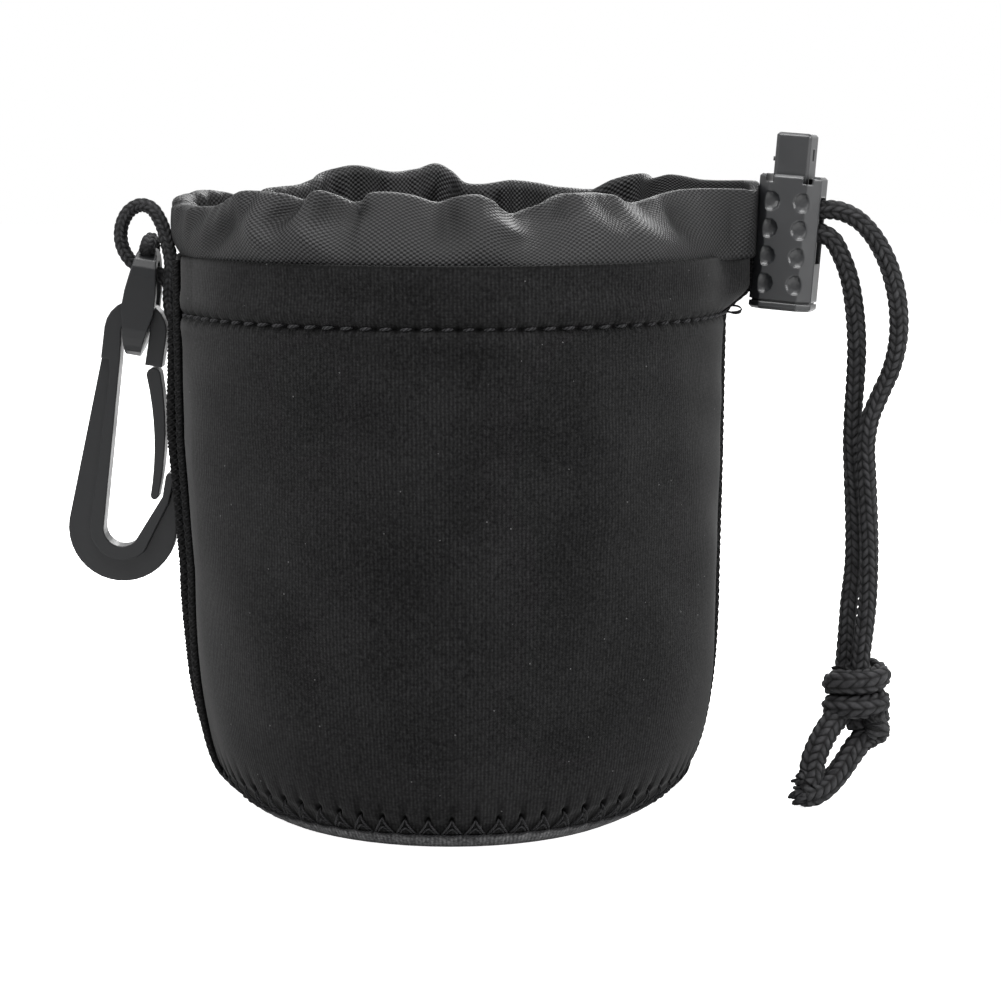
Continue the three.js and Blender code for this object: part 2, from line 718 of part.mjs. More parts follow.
class Helix extends THREE.Curve {
  constructor(radius, foot, top, turns) {
    super();
    this.radius = radius;
    this.foot = foot;
    this.top = top;
    this.turns = turns;
  }

  getPoint(t, target = new THREE.Vector3()) {
    const angle = t * this.turns * full;
    return target.set(this.radius * Math.cos(angle), this.radius * Math.sin(angle),
      this.foot + (this.top - this.foot) * t);
  }
}

function lockSpring() {
  const wire = new THREE.Shape();
  const sides = 5;
  for (let i = 0; i < sides; i += 1) {
    const angle = (i / sides) * full;
    const place = [0.5 * springWire * Math.cos(angle), 0.5 * springWire * Math.sin(angle)];
    if (i === 0) wire.moveTo(...place);
    else wire.lineTo(...place);
  }
  wire.closePath();
  const foot = barrelFloor + seat + springWire / 2;
  const top = plungerFoot - seat - springWire / 2;
  return new THREE.ExtrudeGeometry(wire, {
    steps: 8 * springTurns,
    bevelEnabled: false,
    extrudePath: new Helix(springRadius, foot, top, springTurns),
  });
}

// Snap hook outlines, drawn in u and v
const point = (u, v) => new THREE.Vector2(u, v);
const around = (centreU, centreV, radius, from, to, steps) => Array.from({ length: steps + 1 }, (_, i) => {
  const angle = THREE.MathUtils.degToRad(from + ((to - from) * i) / steps);
  return point(centreU + radius * Math.cos(angle), centreV + radius * Math.sin(angle));
});

// Inside edge of the hook, from the gate's shoulder up through the arch, down the spine and out to the nose
function hookInside(grow) {
  const diagonal = 38; // degrees that the bow's inner arc stops short of the nose's diagonal
  return [
    point(archCentreU + archInnerRadius + grow, spineStepV),
    ...around(archCentreU, archInnerV, archInnerRadius + grow, 0, 180, 8),
    point(spineInnerTopU - 0.6 * grow, spineStepV - grow),
    ...around(bowCentreU, bowCentreV, bowInnerRadius + grow, 180, 360 - diagonal, 10),
    point(noseInnerU + 0.5 * grow, noseFootV - 0.4 * grow),
  ];
}

function hookOutline() {
  const outline = new THREE.Shape();
  const noseWidth = noseOuterU - noseInnerU;
  outline.setFromPoints([
    ...hookInside(0),
    ...around(noseInnerU + noseWidth / 2, noseTopV - noseWidth / 2, noseWidth / 2, 180, 0, 5),
    ...around(bowCentreU, bowCentreV, bowRadius, 8, -180, 20),
    point(spineTopU, spineStepV),
    ...around(archCentreU, archCentreV, archRadius, 180, 0, 12),
    point(archCentreU + archRadius, spineStepV),
  ]);
  return outline;
}

// Raised inner flange: a band of even width along the inside edge
function hookFlange() {
  const inside = hookInside(0);
  const outside = hookInside(hookFlangeWidth);
  const noseWidth = noseOuterU - noseInnerU;
  const flange = new THREE.Shape();
  flange.setFromPoints([
    ...inside.slice(9),
    ...around(noseInnerU + noseWidth / 2, noseTopV - noseWidth / 2, noseWidth / 2, 180, 0, 5),
    ...outside.slice(9).reverse(),
  ]);
  return flange;
}

// Arch at the head of the hook, full thickness from the step line up
function hookArch() {
  const arch = new THREE.Shape();
  arch.setFromPoints([
    ...hookInside(0).slice(0, 10),
    point(spineInnerTopU, spineStepV),
    point(spineTopU, spineStepV),
    ...around(archCentreU, archCentreV, archRadius, 180, 0, 12),
    point(archCentreU + archRadius, spineStepV),
  ]);
  return arch;
}

function hookBody() {
  const web = solidOf(upright(hookOutline(), hookWebThickness));
  const flange = solidOf(upright(hookFlange(), hookFlangeThickness));
  const arch = solidOf(upright(hookArch(), hookFlangeThickness));
  return geometryOf(web.add(flange).add(arch));
}

// Gate: a tongue that tapers from its round root to its tip, bowed towards the window
function hookGate() {
  const run = point(gateTipU - gateRootU, gateTipV - gateRootV);
  const side = (sign) => Array.from({ length: 9 }, (_, i) => {
    const t = i / 8;
    const half = gateRootRadius + (gateTipRadius - gateRootRadius) * t;
    const bow = gateBow * 4 * t * (1 - t);
    const along = run.clone().normalize();
    return point(
      gateRootU + run.x * t - along.y * (sign * half + bow),
      gateRootV + run.y * t + along.x * (sign * half + bow),
    );
  });
  const heading = THREE.MathUtils.radToDeg(Math.atan2(run.y, run.x));
  const gate = new THREE.Shape();
  gate.setFromPoints([
    ...side(1),
    ...around(gateTipU, gateTipV, gateTipRadius, heading + 90, heading - 90, 6).slice(1, -1),
    ...side(-1).reverse(),
    ...around(gateRootU, gateRootV, gateRootRadius, heading + 270, heading + 90, 8).slice(1, -1),
  ]);
  return upright(gate, gateThickness);
}

// Link: a ring seen from the side, cut to its almond outline seen from the front. The bar at its foot is
// rounded to turn in the hook's arch, and the hole's top is flared for the cord
const linkHoleFoot = archInnerV + archInnerRadius;

function hookLink() {
  const tall = linkTop - linkFoot;
  const ring = new THREE.Shape();
  const outer = linkOuterWidth / 2;
  ring.setFromPoints([
    ...around(0, linkTop - outer, outer, 0, 180, 10), ...around(0, linkFoot + outer, outer, 180, 360, 10),
  ]);
  const hole = new THREE.Path();
  const inner = linkHoleWidth / 2;
  hole.setFromPoints([
    ...around(0, linkHoleTop - inner, inner, 0, 180, 10),
    ...around(linkHoleCorner - inner, linkHoleFoot + linkHoleCorner, linkHoleCorner, 180, 270, 3),
    ...around(inner - linkHoleCorner, linkHoleFoot + linkHoleCorner, linkHoleCorner, 270, 360, 3),
  ]);
  ring.holes.push(hole);
  const wide = linkOuterWidth + overrun;
  const sideways = upright(ring, wide).rotateZ(Math.PI / 2);
  const almond = new THREE.Shape();
  const half = (sign) => linkShares.map(([height, width]) => (
    point(linkSkewU + sign * width * linkHalfWidth, linkFoot + height * tall)));
  almond.setFromPoints([...half(1), ...half(-1).reverse()]);
  let link = solidOf(sideways).intersect(solidOf(upright(almond, wide)));
  const flare = new THREE.LatheGeometry([
    new THREE.Vector2(0, -wide), new THREE.Vector2(eyeFlare, -wide), new THREE.Vector2(eyeFlare, -eyeFlare),
    new THREE.Vector2((eyeBore + eyeFlare) * 0.42, -0.5 * eyeFlare), new THREE.Vector2(eyeBore, 0),
    new THREE.Vector2((eyeBore + eyeFlare) * 0.42, 0.5 * eyeFlare),
    new THREE.Vector2(eyeFlare, eyeFlare), new THREE.Vector2(eyeFlare, wide), new THREE.Vector2(0, wide),
  ], 16);
  flare.rotateZ(Math.PI / 2).translate(0, 0, linkEyeV);
  link = link.subtract(solidOf(flare));
  const bar = new THREE.Shape();
  const barRadius = archInnerRadius - seat;
  const below = linkFoot - overrun;
  bar.setFromPoints([
    ...around(archCentreU, archInnerV, barRadius, 0, 180, 8),
    point(archCentreU - barRadius, below), point(archCentreU + barRadius, below),
  ]);
  const archSpace = hookFlangeThickness + 2 * seat;
  const reach = archCentreV + archRadius - below;
  const sleeve = solidOf(box(wide, archSpace, reach, 0, 0, below + reach / 2));
  return geometryOf(link.subtract(sleeve.subtract(solidOf(upright(bar, wide)))));
}

// Turn of the loop's cord bent over the top of the link, flattened where it is pulled tight
function hookHitch() {
  const radius = linkOuterWidth / 2 + seat + hitchDiameter / 2;
  const centreV = linkTop - linkOuterWidth / 2;
  const bend = around(0, centreV, radius, 90 - hitchArc / 2, 90 + hitchArc / 2, 8);
  const strand = tube(bend.map((p) => new THREE.Vector3(0, p.x, p.y)), hitchDiameter, loopSides, hitchDiameter / 2);
  return strand.scale(hitchFlatten, 1, 1).translate(linkSkewU, 0, 0);
}

// Cord loop that carries the link: points chosen from the seam up, over and down through the eye, off the hem
const offHem = (p) => new THREE.Vector3(-hemRadius, 0, hemHeight).add(new THREE.Vector3(...p));
const loopRoute = [
  [-2.1, -1.7, -10], [-2.7, -1.7, -6], [-3.1, -1.6, -2], [-3.5, -1.4, 2.1], [-4.7, -1, 5.9],
  [-6.5, -0.3, 8.4], [-8.5, 0.5, 8.9], [-10.7, 1.1, 7.8], [-12.1, 1.4, 5.5], [-12.5, 1.6, 2.9],
  [-11.9, 1.6, 0.3], [-10.2, 1.6, -2], [-7.49, 1.6, -3.3], [-5.1, 1.6, -4.2], [-3.5, 1.7, -6.1],
  [-2.6, 1.8, -8.1], [-2.1, 1.8, -10],
];

function hookLoop() {
  return tube(loopRoute.map(offHem), loopDiameter, loopSides, 0.9 * loopDiameter);
}

// Assembly
const seamHalf = seamGap / (2 * hemRadius);
addPiece(pouch, 'front_panel', cupPanel(leftSeamAngle + seamHalf, full - seamHalf), neoprene);
addPiece(pouch, 'back_panel', cupPanel(leftSeamAngle - seamHalf, rightSeamAngle + seamHalf), neoprene);
addPiece(pouch, 'base_panel', basePanel(), neoprene);
addPiece(pouch, 'left_seam_ridge',
  seamRidge(leftSeamAngle, leftRidgeFoot, hemHeight - ridgeBelowHem, ridgeWidth, ridgeHeight), thread);
addPiece(pouch, 'right_seam_ridge',
  seamRidge(rightSeamAngle, baseBandHigh + seat, hemHeight - ridgeBelowHem, ridgeWidth, rightRidgeHeight), thread);
addPiece(pouch, 'base_seam_band', baseBand(), thread);
const beltFarAngle = beltNearAngle - beltWidth / hemRadius;
addPiece(pouch, 'belt_loop', beltStrip(beltNearAngle, beltFarAngle), neoprene);
addPiece(pouch, 'belt_loop_near_edge', beltEdge(beltNearAngle, 1), thread);
addPiece(pouch, 'belt_loop_far_edge', beltEdge(beltFarAngle, -1), thread);

const collarCut = box(5 * cordDiameter, cordDiameter + 4 * seat, 3 * cordDiameter, 0, 0, 0);
collarCut.rotateZ(lockTurn);
const collarGate = slotPoint((upperCordHeight + lowerCordHeight) / 2, -cordExit - cordDiameter);
collarCut.translate(collarGate.x, collarGate.y, collarGate.z);
addPiece(pouch, 'collar', geometryOf(solidOf(collarShell()).subtract(solidOf(collarCut))), nylon);
addPiece(pouch, 'drawcord_channel_run', channelCord(), cordBraid);

addPiece(pouch, 'drawcord_upper_leg', cordLeg(upperCordHeight, upperLegRoute), cordBraid);
addPiece(pouch, 'drawcord_lower_leg', cordLeg(lowerCordHeight, lowerLegRoute), cordBraid);
addPiece(pouch, 'drawcord_knot', knotSolid(), cordBraid);
addPiece(pouch, 'drawcord_front_tail', tailTube(frontTailRoute), cordBraid);
addPiece(pouch, 'drawcord_rear_tail', tailTube(rearTailRoute), cordBraid);

const lock = new THREE.Group();
lock.position.copy(lockFoot);
lock.quaternion.setFromAxisAngle(new THREE.Vector3(0, 1, 0), lockLean)
  .multiply(new THREE.Quaternion().setFromAxisAngle(new THREE.Vector3(0, 0, 1), lockTurn));
pouch.add(lock);
addPiece(lock, 'lock_barrel', lockBarrel(), plastic);
addPiece(lock, 'lock_plunger', lockPlunger(), plastic);
addPiece(lock, 'lock_spring', lockSpring(), steel);

const hook = new THREE.Group();
hook.position.copy(hookOrigin);
hook.rotation.y = hookLean;
pouch.add(hook);
addPiece(hook, 'hook_body', hookBody(), plastic);
addPiece(hook, 'hook_gate', hookGate(), plastic);
addPiece(hook, 'hook_link', hookLink(), plastic);
addPiece(hook, 'hook_cord_hitch', hookHitch(), cordBraid);
addPiece(pouch, 'hook_cord_loop', hookLoop(), cordBraid);

export default pouch;
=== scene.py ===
import bpy
import numpy as np
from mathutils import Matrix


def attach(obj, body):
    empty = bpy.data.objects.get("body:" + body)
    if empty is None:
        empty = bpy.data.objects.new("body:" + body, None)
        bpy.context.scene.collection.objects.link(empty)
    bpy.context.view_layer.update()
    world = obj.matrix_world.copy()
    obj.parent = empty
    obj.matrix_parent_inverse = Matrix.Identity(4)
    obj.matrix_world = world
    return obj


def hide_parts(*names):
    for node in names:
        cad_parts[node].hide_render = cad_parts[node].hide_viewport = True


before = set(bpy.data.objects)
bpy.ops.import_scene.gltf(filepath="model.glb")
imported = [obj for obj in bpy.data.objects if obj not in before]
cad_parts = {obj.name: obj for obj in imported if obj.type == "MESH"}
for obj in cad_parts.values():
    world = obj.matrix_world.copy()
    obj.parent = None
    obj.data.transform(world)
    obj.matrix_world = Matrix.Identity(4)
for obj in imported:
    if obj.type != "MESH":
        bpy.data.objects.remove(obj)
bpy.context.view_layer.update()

# Camera. It stands half a metre in front of the pouch, a little above the mouth, and looks down
# by under eight degrees, so that the front and the back of the gathered rim both show.
camera_data = bpy.data.cameras.new("camera")
camera_data.sensor_width = 36
camera_data.lens = 36 * 2756 / 1001
camera_data.clip_start = 0.01
camera = bpy.data.objects.new("camera", camera_data)
camera.location = (0.0086, -0.52, 0.1275)
camera.rotation_euler = (np.radians(90 - 7.779), 0, 0)
bpy.context.collection.objects.link(camera)
bpy.context.scene.camera = camera

# Drawcord. A round black cord, plaited from eight strands, 3.5 mm thick. Both of its legs leave the
# drawn end of the collar, run one above the other through the cord lock, and hang down to the knot.
lock_foot = np.array([61.2, 0, 92.9])
lock_lean = np.radians(4.5)
lock_turn = np.radians(-18)
lock_axis = np.array([np.sin(lock_lean), 0, np.cos(lock_lean)])
pull_line = np.array([np.cos(lock_turn), np.sin(lock_turn), 0])
cord_width = 3.5


def in_slot(height, along):
    """Point on the pull line: the lock's axis at this height, moved along the pull line."""
    return lock_foot + lock_axis * (height - lock_foot[2]) / lock_axis[2] + pull_line * along


def run_of(path):
    """Distance along a path from its start to each of its points."""
    return np.concatenate([[0], np.cumsum(np.linalg.norm(np.diff(path, axis=0), axis=1))])


def on_round(radius, angle, z):
    """Points at a radius and an angle about the pouch's own axis, at a height."""
    return np.stack(np.broadcast_arrays(radius * np.cos(angle), radius * np.sin(angle), z), axis=-1)


def smooth_path(points, step):
    """Curve through the points, even steps apart: cubic pieces whose slope at a point is that of
    the line between its two neighbours, measured along the chords."""
    p = np.asarray(points, float)
    t = np.concatenate([[0], np.cumsum(np.linalg.norm(np.diff(p, axis=0), axis=1) ** 0.75)])
    slope = np.gradient(p, t, axis=0)
    fine = np.linspace(0, t[-1], 60 * len(p))
    i = np.clip(np.searchsorted(t, fine, side="right") - 1, 0, len(p) - 2)
    h = (t[i + 1] - t[i])[:, None]
    u = (fine[:, None] - t[i][:, None]) / h
    curve = ((2 * u**3 - 3 * u**2 + 1) * p[i] + (u**3 - 2 * u**2 + u) * h * slope[i]
             + (3 * u**2 - 2 * u**3) * p[i + 1] + (u**3 - u**2) * h * slope[i + 1])
    run = run_of(curve)
    even = np.linspace(0, run[-1], max(int(round(run[-1] / step)), 2) + 1)
    return np.stack([np.interp(even, run, curve[:, k]) for k in range(3)], axis=1)


def skin(name, grid, uv, body, material, raised=1.0, along=False, capped=True):
    """Mesh over a grid of points in millimetres, rows by columns. The columns close on themselves,
    the rows too where along is true, and open ends are capped with one face each. The values of
    raised are kept on the points for the material, which scales its colour by them: low values
    paint shade in hollows, higher ones paint light on crests, and large ones draw a surface paler."""
    rows, cols = grid.shape[:2]
    index = np.arange(rows * cols).reshape(rows, cols)
    r, c = np.meshgrid(np.arange(rows + (0 if along else -1)), np.arange(cols), indexing="ij")
    r1, c1 = (r + 1) % rows, (c + 1) % cols
    quads = np.stack([index[r, c], index[r, c1], index[r1, c1], index[r1, c]], axis=-1).reshape(-1, 4)
    corner_uv = np.stack([uv[r, c], uv[r, c + 1], uv[r + 1, c + 1], uv[r + 1, c]], axis=2).reshape(-1, 2)
    loops = quads.ravel()
    starts = np.arange(0, loops.size, 4)
    if capped and not along:
        ends = np.concatenate([index[0, ::-1], index[-1]])
        end_uv = np.concatenate([uv[0, cols - 1::-1], uv[-1, :cols]])
        starts = np.concatenate([starts, [loops.size, loops.size + cols]])
        loops = np.concatenate([loops, ends])
        corner_uv = np.concatenate([corner_uv, end_uv])
    mesh = bpy.data.meshes.new(name)
    mesh.vertices.add(rows * cols)
    mesh.vertices.foreach_set("co", (grid.reshape(-1, 3) * 0.001).ravel().astype(np.float32))
    mesh.loops.add(len(loops))
    mesh.loops.foreach_set("vertex_index", loops.astype(np.int32))
    mesh.polygons.add(len(starts))
    mesh.polygons.foreach_set("loop_start", starts.astype(np.int32))
    mesh.update(calc_edges=True)
    layer = mesh.uv_layers.new(name="surface")
    layer.data.foreach_set("uv", corner_uv.astype(np.float32).ravel())
    mesh.polygons.foreach_set("use_smooth", np.full(len(starts), True))
    crest = mesh.attributes.new("raised", "FLOAT", "POINT")
    crest.data.foreach_set("value", np.broadcast_to(raised, grid.shape[:2]).astype(np.float32).ravel())
    mesh.materials.append(material)
    mesh.validate()
    shell = bpy.data.objects.new(name, mesh)
    bpy.context.collection.objects.link(shell)
    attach(shell, body)
    return shell


def sides_of(path, across):
    """Two directions square to the path at each point: the first is square to the path and to the
    given direction, the second to the path and the first."""
    ahead = np.gradient(path, axis=0)
    ahead /= np.linalg.norm(ahead, axis=1)[:, None]
    first = np.cross(ahead, across)
    first /= np.linalg.norm(first, axis=1)[:, None]
    return first, np.cross(ahead, first)


def plaited_cord(name, path, width, body, across=(0, 1, 0), pitch=1.65, columns=64, wales=4, start=0.0):
    """Cord along a path. Its strands lie in upright columns of V shapes. At a share d of the way from
    the middle of a column to its edge, and a distance s along, a strand's own place is s / pitch less
    0.8 d. Each strand is round across its width and sinks at the middle and the edge of its column."""
    run = run_of(path)
    first, second = sides_of(path, np.array(across, float))
    turn = np.arange(columns + 1) / columns
    wale = wales * turn[None, :] + run[:, None] / 70 + start
    aside = np.abs(2 * (wale % 1) - 1)
    strand = run[:, None] / pitch - 0.8 * aside
    arch = np.sqrt(np.clip(1 - (2 * (strand % 1) - 1) ** 2, 0, 1))
    height = np.clip(1.25 * arch - 0.25, 0, 1) * (0.1 + 0.9 * np.sin(np.pi * aside) ** 0.7)
    radius = width / 2 * (0.84 + 0.22 * height)
    angle = 2 * np.pi * turn[None, :-1, None]
    ring = np.cos(angle) * first[:, None] + np.sin(angle) * second[:, None]
    grid = path[:, None] + radius[:, :-1, None] * ring
    uv = np.stack([strand, aside + np.floor(wale)], axis=2)
    # The strands' height goes to the material as painted shade in the pits between strands and painted light
    # on their crests.
    return skin(name, grid[:, ::-1], uv[:, ::-1], body, braid, height[:, -2::-1])


def node_material(name):
    """New material with its shader, and its nodes and links to add to."""
    made = bpy.data.materials.new(name)
    made.use_nodes = True
    return made, made.node_tree.nodes["Principled BSDF"], made.node_tree.nodes, made.node_tree.links


def add(nodes, kind, **values):
    """New shader node of a kind, with its settings, and with inputs set by number as in_0."""
    node = nodes.new("ShaderNode" + kind)
    for key, value in values.items():
        if key.startswith("in_"):
            node.inputs[int(key[3:])].default_value = value
        else:
            setattr(node, key, value)
    return node


def tone_ramp(nodes, links, source, dark, light):
    """Colour that goes from one tone to another as the source goes from place to place: dark and
    light are pairs of place and red, green and blue."""
    ramp = add(nodes, "ValToRGB")
    for element, (place, colour) in zip(ramp.color_ramp.elements, (dark, light)):
        element.position = place
        element.color = (*colour, 1)
    links.new(source, ramp.inputs[0])
    return ramp.outputs[0]


def multiplied(nodes, links, colour, share):
    """Colour times a share."""
    product = add(nodes, "VectorMath", operation="SCALE")
    links.new(colour, product.inputs[0])
    links.new(share, product.inputs["Scale"])
    return product.outputs[0]


def span(nodes, links, source, **ends):
    """Source taken from one range to another, as the inputs of a Map Range node say."""
    mapped = add(nodes, "MapRange", **ends)
    links.new(source, mapped.inputs[0])
    return mapped.outputs[0]


def product(nodes, links, first, second):
    """First number times the second."""
    made = add(nodes, "Math", operation="MULTIPLY")
    links.new(first, made.inputs[0])
    links.new(second, made.inputs[1])
    return made.outputs[0]


def bumped(nodes, links, height, strength, distance, normal=None):
    """Normal bent by a height, on top of another normal where one is given."""
    bump = add(nodes, "Bump", in_0=strength, in_1=distance)
    links.new(height, bump.inputs["Height"])
    if normal is not None:
        links.new(normal, bump.inputs["Normal"])
    return bump.outputs[0]


# Braid: soft-spun black yarn. Fine filaments run along each strand, and short fibres blur its edges.
braid, shader, nodes, links = node_material("cord_braid")
shader.inputs["Roughness"].default_value = 0.7
shader.inputs["Specular IOR Level"].default_value = 0.12
strand_uv = add(nodes, "UVMap", uv_map="surface")
filament = add(nodes, "TexWave", wave_type="BANDS", bands_direction="X", in_1=1.9, in_2=1.5, in_3=2.0)
fibres = add(nodes, "TexNoise", in_2=900.0, in_3=4.0)
object_place = add(nodes, "TexCoord")
links.new(strand_uv.outputs[0], filament.inputs[0])
links.new(object_place.outputs["Object"], fibres.inputs[0])
yarn_bump = bumped(nodes, links, filament.outputs["Fac"], 0.55, 0.00012)
fibre_bump = bumped(nodes, links, fibres.outputs["Fac"], 0.35, 0.0001, yarn_bump)
links.new(fibre_bump, shader.inputs["Normal"])
yarn = tone_ramp(nodes, links, fibres.outputs["Fac"],
                 (0.25, (0.005, 0.005, 0.0055)), (0.8, (0.024, 0.024, 0.025)))
# Painted shade and light: the strands' height darkens the yarn in the pits between strands and lightens it on
# their crests.
crest = add(nodes, "Attribute", attribute_name="raised")
painted_light_share = span(nodes, links, crest.outputs["Fac"], in_1=0.1, in_2=0.85, in_3=0.1, in_4=1.6)
links.new(multiplied(nodes, links, yarn, painted_light_share), shader.inputs["Base Color"])

upper_route = [
    (71.6, -3.3, 111.5), (74.8, -4.2, 110.1), (77.6, -4.8, 107.4), (80.2, -5.2, 103.1), (82.0, -5.3, 98.1),
    (82.9, -5.4, 93.0), (82.9, -5.5, 87.4), (81.7, -5.6, 81.9), (79.7, -5.8, 77.3), (77.9, -6.0, 72.7),
    (77.2, -6.1, 68.0), (77.4, -6.4, 62.4), (77.8, -6.7, 55.0), (78.1, -6.9, 47.5), (77.9, -7.0, 38.2),
    (77.2, -6.9, 30.7), (76.5, -6.6, 24.2),
]
lower_route = [
    (70.6, -2.9, 106.1), (72.4, -3.0, 103.0), (73.9, -2.8, 99.0), (74.9, -2.5, 94.2), (75.6, -2.3, 86.8),
    (75.5, -2.3, 80.0), (75.2, -2.4, 74.6), (75.0, -2.5, 68.0), (75.3, -2.6, 61.5), (75.7, -2.9, 53.0),
    (75.7, -3.1, 45.0), (74.9, -3.2, 37.0), (74.5, -3.2, 30.5), (74.1, -3.2, 24.2),
]


def leg_path(height, route):
    """A leg's line: straight along the pull line through the lock, then down its route."""
    slot_points = [in_slot(height, along) for along in (-16.4, -8.2, 0, 5.9)]
    return smooth_path(slot_points + [np.array(p) for p in route], 0.17)


upper_path = leg_path(111.6, upper_route)
lower_path = leg_path(107.5, lower_route)
upper_leg = plaited_cord("upper_leg_of_drawcord", upper_path, cord_width, "drawcord")
lower_leg = plaited_cord("lower_leg_of_drawcord", lower_path, cord_width, "drawcord")

# Knot and tails. Both legs are tied together in one knot, pulled tight: two turns lie flat round the
# pair, a third slants below, and the two cut ends stick out of it and have begun to fray.
knot_turns = np.radians(np.linspace(60, 60 + 905, 60))
knot_drop = np.array([
    [60, 25.2], [150, 24.0], [240, 23.1], [330, 22.7], [420, 20.8], [510, 19.0], [600, 18.4], [690, 18.1],
    [780, 16.9], [870, 16.0], [965, 15.2]])
knot_loops = np.stack([
    76.3 - 4.3 * np.cos(knot_turns), -5.2 - 3.3 * np.sin(-knot_turns),
    np.interp(np.degrees(knot_turns), knot_drop[:, 0], knot_drop[:, 1])], axis=1)
knot_tail = [
    (79.4, -8.0, 14.6), (80.5, -7.2, 13.6), (79.6, -6.2, 12.4), (77.6, -6.6, 11.6), (75.4, -7.6, 9.2),
    (73.4, -8.8, 6.6), (71.2, -10.2, 4.3), (68.4, -11.8, 2.5), (65.4, -13.0, 2.0),
]
left_tail_route = [
    (75.0, -5.2, 18.0), (72.9, -6.6, 16.2), (70.9, -8.2, 14.2), (69.0, -9.6, 11.3), (67.7, -10.6, 8.2),
    (67.2, -11.4, 5.6), (66.2, -12.0, 4.2),
]
first_heart = [(76.5, -6.6, 25.5), (76.3, -5.9, 21.5), (76.4, -5.2, 17.0), (77.2, -5.6, 13.6)]
second_heart = [(74.1, -3.2, 25.5), (75.2, -3.9, 21.5), (76.2, -4.4, 17.0), (77.8, -4.6, 13.8)]
turns_route = np.concatenate([knot_loops[::3], knot_tail])
knot_strands = [
    plaited_cord("turns_and_right_tail_of_knot", smooth_path(turns_route, 0.17), 4.6, "drawcord", (0, 0, 1),
                 pitch=1.8),
    plaited_cord("left_tail_of_knot", smooth_path(left_tail_route, 0.17), 4.7, "drawcord", start=0.4),
    plaited_cord("first_strand_in_knot", smooth_path(first_heart, 0.4), 5.0, "drawcord"),
    plaited_cord("second_strand_in_knot", smooth_path(second_heart, 0.4), 5.0, "drawcord"),
]


def loose_threads(name, paths, width, body, material, taper=0.35):
    """Separate short threads in one mesh: paths has one row per thread. Every thread is a tube whose
    ends shrink to nothing, and the tubes are joined end to end by those points."""
    count, steps = paths.shape[:2]
    thin = np.sin(np.pi * np.linspace(0, 1, steps)) ** taper
    thin[[0, -1]] = 0.02
    heading = np.gradient(paths, axis=1)
    heading /= np.linalg.norm(heading, axis=2)[..., None]
    first = np.cross(heading, [0.31, 0.17, 0.93])
    first /= np.linalg.norm(first, axis=2)[..., None]
    second = np.cross(heading, first)
    angle = np.pi / 3 * np.arange(6)[None, None, :, None]
    ring = np.cos(angle) * first[:, :, None] + np.sin(angle) * second[:, :, None]
    grid = (paths[:, :, None] + width / 2 * thin[None, :, None, None] * ring).reshape(count * steps, 6, 3)
    lengths = np.linalg.norm(np.diff(paths, axis=1), axis=2)
    run = np.concatenate([np.zeros((count, 1)), lengths.cumsum(axis=1)], axis=1)
    uv = np.stack(np.broadcast_arrays(np.arange(7)[None, :] / 3, run.reshape(-1, 1)), axis=2)
    return skin(name, grid[:, ::-1], uv[:, ::-1], body, material, np.full(grid.shape[:2], 0.7))


def frayed_end(name, end, ahead, seed):
    """Tuft at a cut end: yarns start in a ring inside the cord, run on ahead and splay and curl by
    a seeded amount each."""
    random = np.random.default_rng(seed)
    t = np.linspace(0, 1, 9)[None, :, None]
    ahead = ahead / np.linalg.norm(ahead)
    spread = random.normal(size=(44, 1, 3))
    spread -= (spread @ ahead)[..., None] * ahead
    reach = random.uniform(0.6, 2.1, (44, 1, 1))
    curl = random.normal(size=(44, 1, 3)) * 0.6
    paths = (end - ahead * 1.4 + spread * 0.62 + ahead * (reach + 1.4) * t
             + spread * 0.35 * t ** 2 + curl * np.sin(np.pi * t) * t)
    paths[..., 2] = np.maximum(paths[..., 2], 0.45)
    return loose_threads(name, paths, 0.8, "drawcord", braid, 0.25)


frays = [frayed_end("fray_of_right_tail", np.array([65.4, -13.0, 2.0]), np.array([-1, -0.35, -0.1]), 4),
         frayed_end("fray_of_left_tail", np.array([66.2, -12.0, 4.2]), np.array([-1, -0.45, -0.3]), 7)]
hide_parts("drawcord_knot", "drawcord_rear_tail")
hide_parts("drawcord_front_tail")
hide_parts("drawcord_upper_leg")
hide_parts("drawcord_lower_leg")


# Cup. Two panels of 3 mm neoprene with black knitted jersey on both faces, cut square at the hem. They
# meet at the side seams, and the drawn cord pulls the hem out a little at the lock.
hem_radius = 50.5
hem_height = 103.5
cloth_wall = 3.3
stitch_height = 92.7
stitch_pitch = 3.6
stitch_start = 0.07 * hem_radius
left_seam = np.radians(191)
base_loops = 68
side_rows = np.array([[0, 40.1], [1.5, 42.1], [3.5, 43.6], [6, 45.2], [10, 46.6], [16, 47.9], [24, 49.0],
                      [34, 49.6], [46, 49.8], [62, 50.1], [80, 50.3], [103.5, 50.5]])


def between(rows, at):
    """Value of a table of place and value at many places: cubic pieces whose slope at a row is that
    of the line between its two neighbours, level beyond the ends."""
    place, value = rows[:, 0], rows[:, 1]
    each, last = np.arange(len(place)), len(place) - 1
    low, high = np.maximum(each - 1, 0), np.minimum(each + 1, last)
    slope = (value[high] - value[low]) / (place[high] - place[low])
    i = np.clip(np.searchsorted(place, at, side="right") - 1, 0, last - 1)
    h = place[i + 1] - place[i]
    t = np.clip((at - place[i]) / h, 0, 1)
    return ((2 * t**3 - 3 * t**2 + 1) * value[i] + (t**3 - 2 * t**2 + t) * h * slope[i]
            + (3 * t**2 - 2 * t**3) * value[i + 1] + (t**3 - t**2) * h * slope[i + 1])


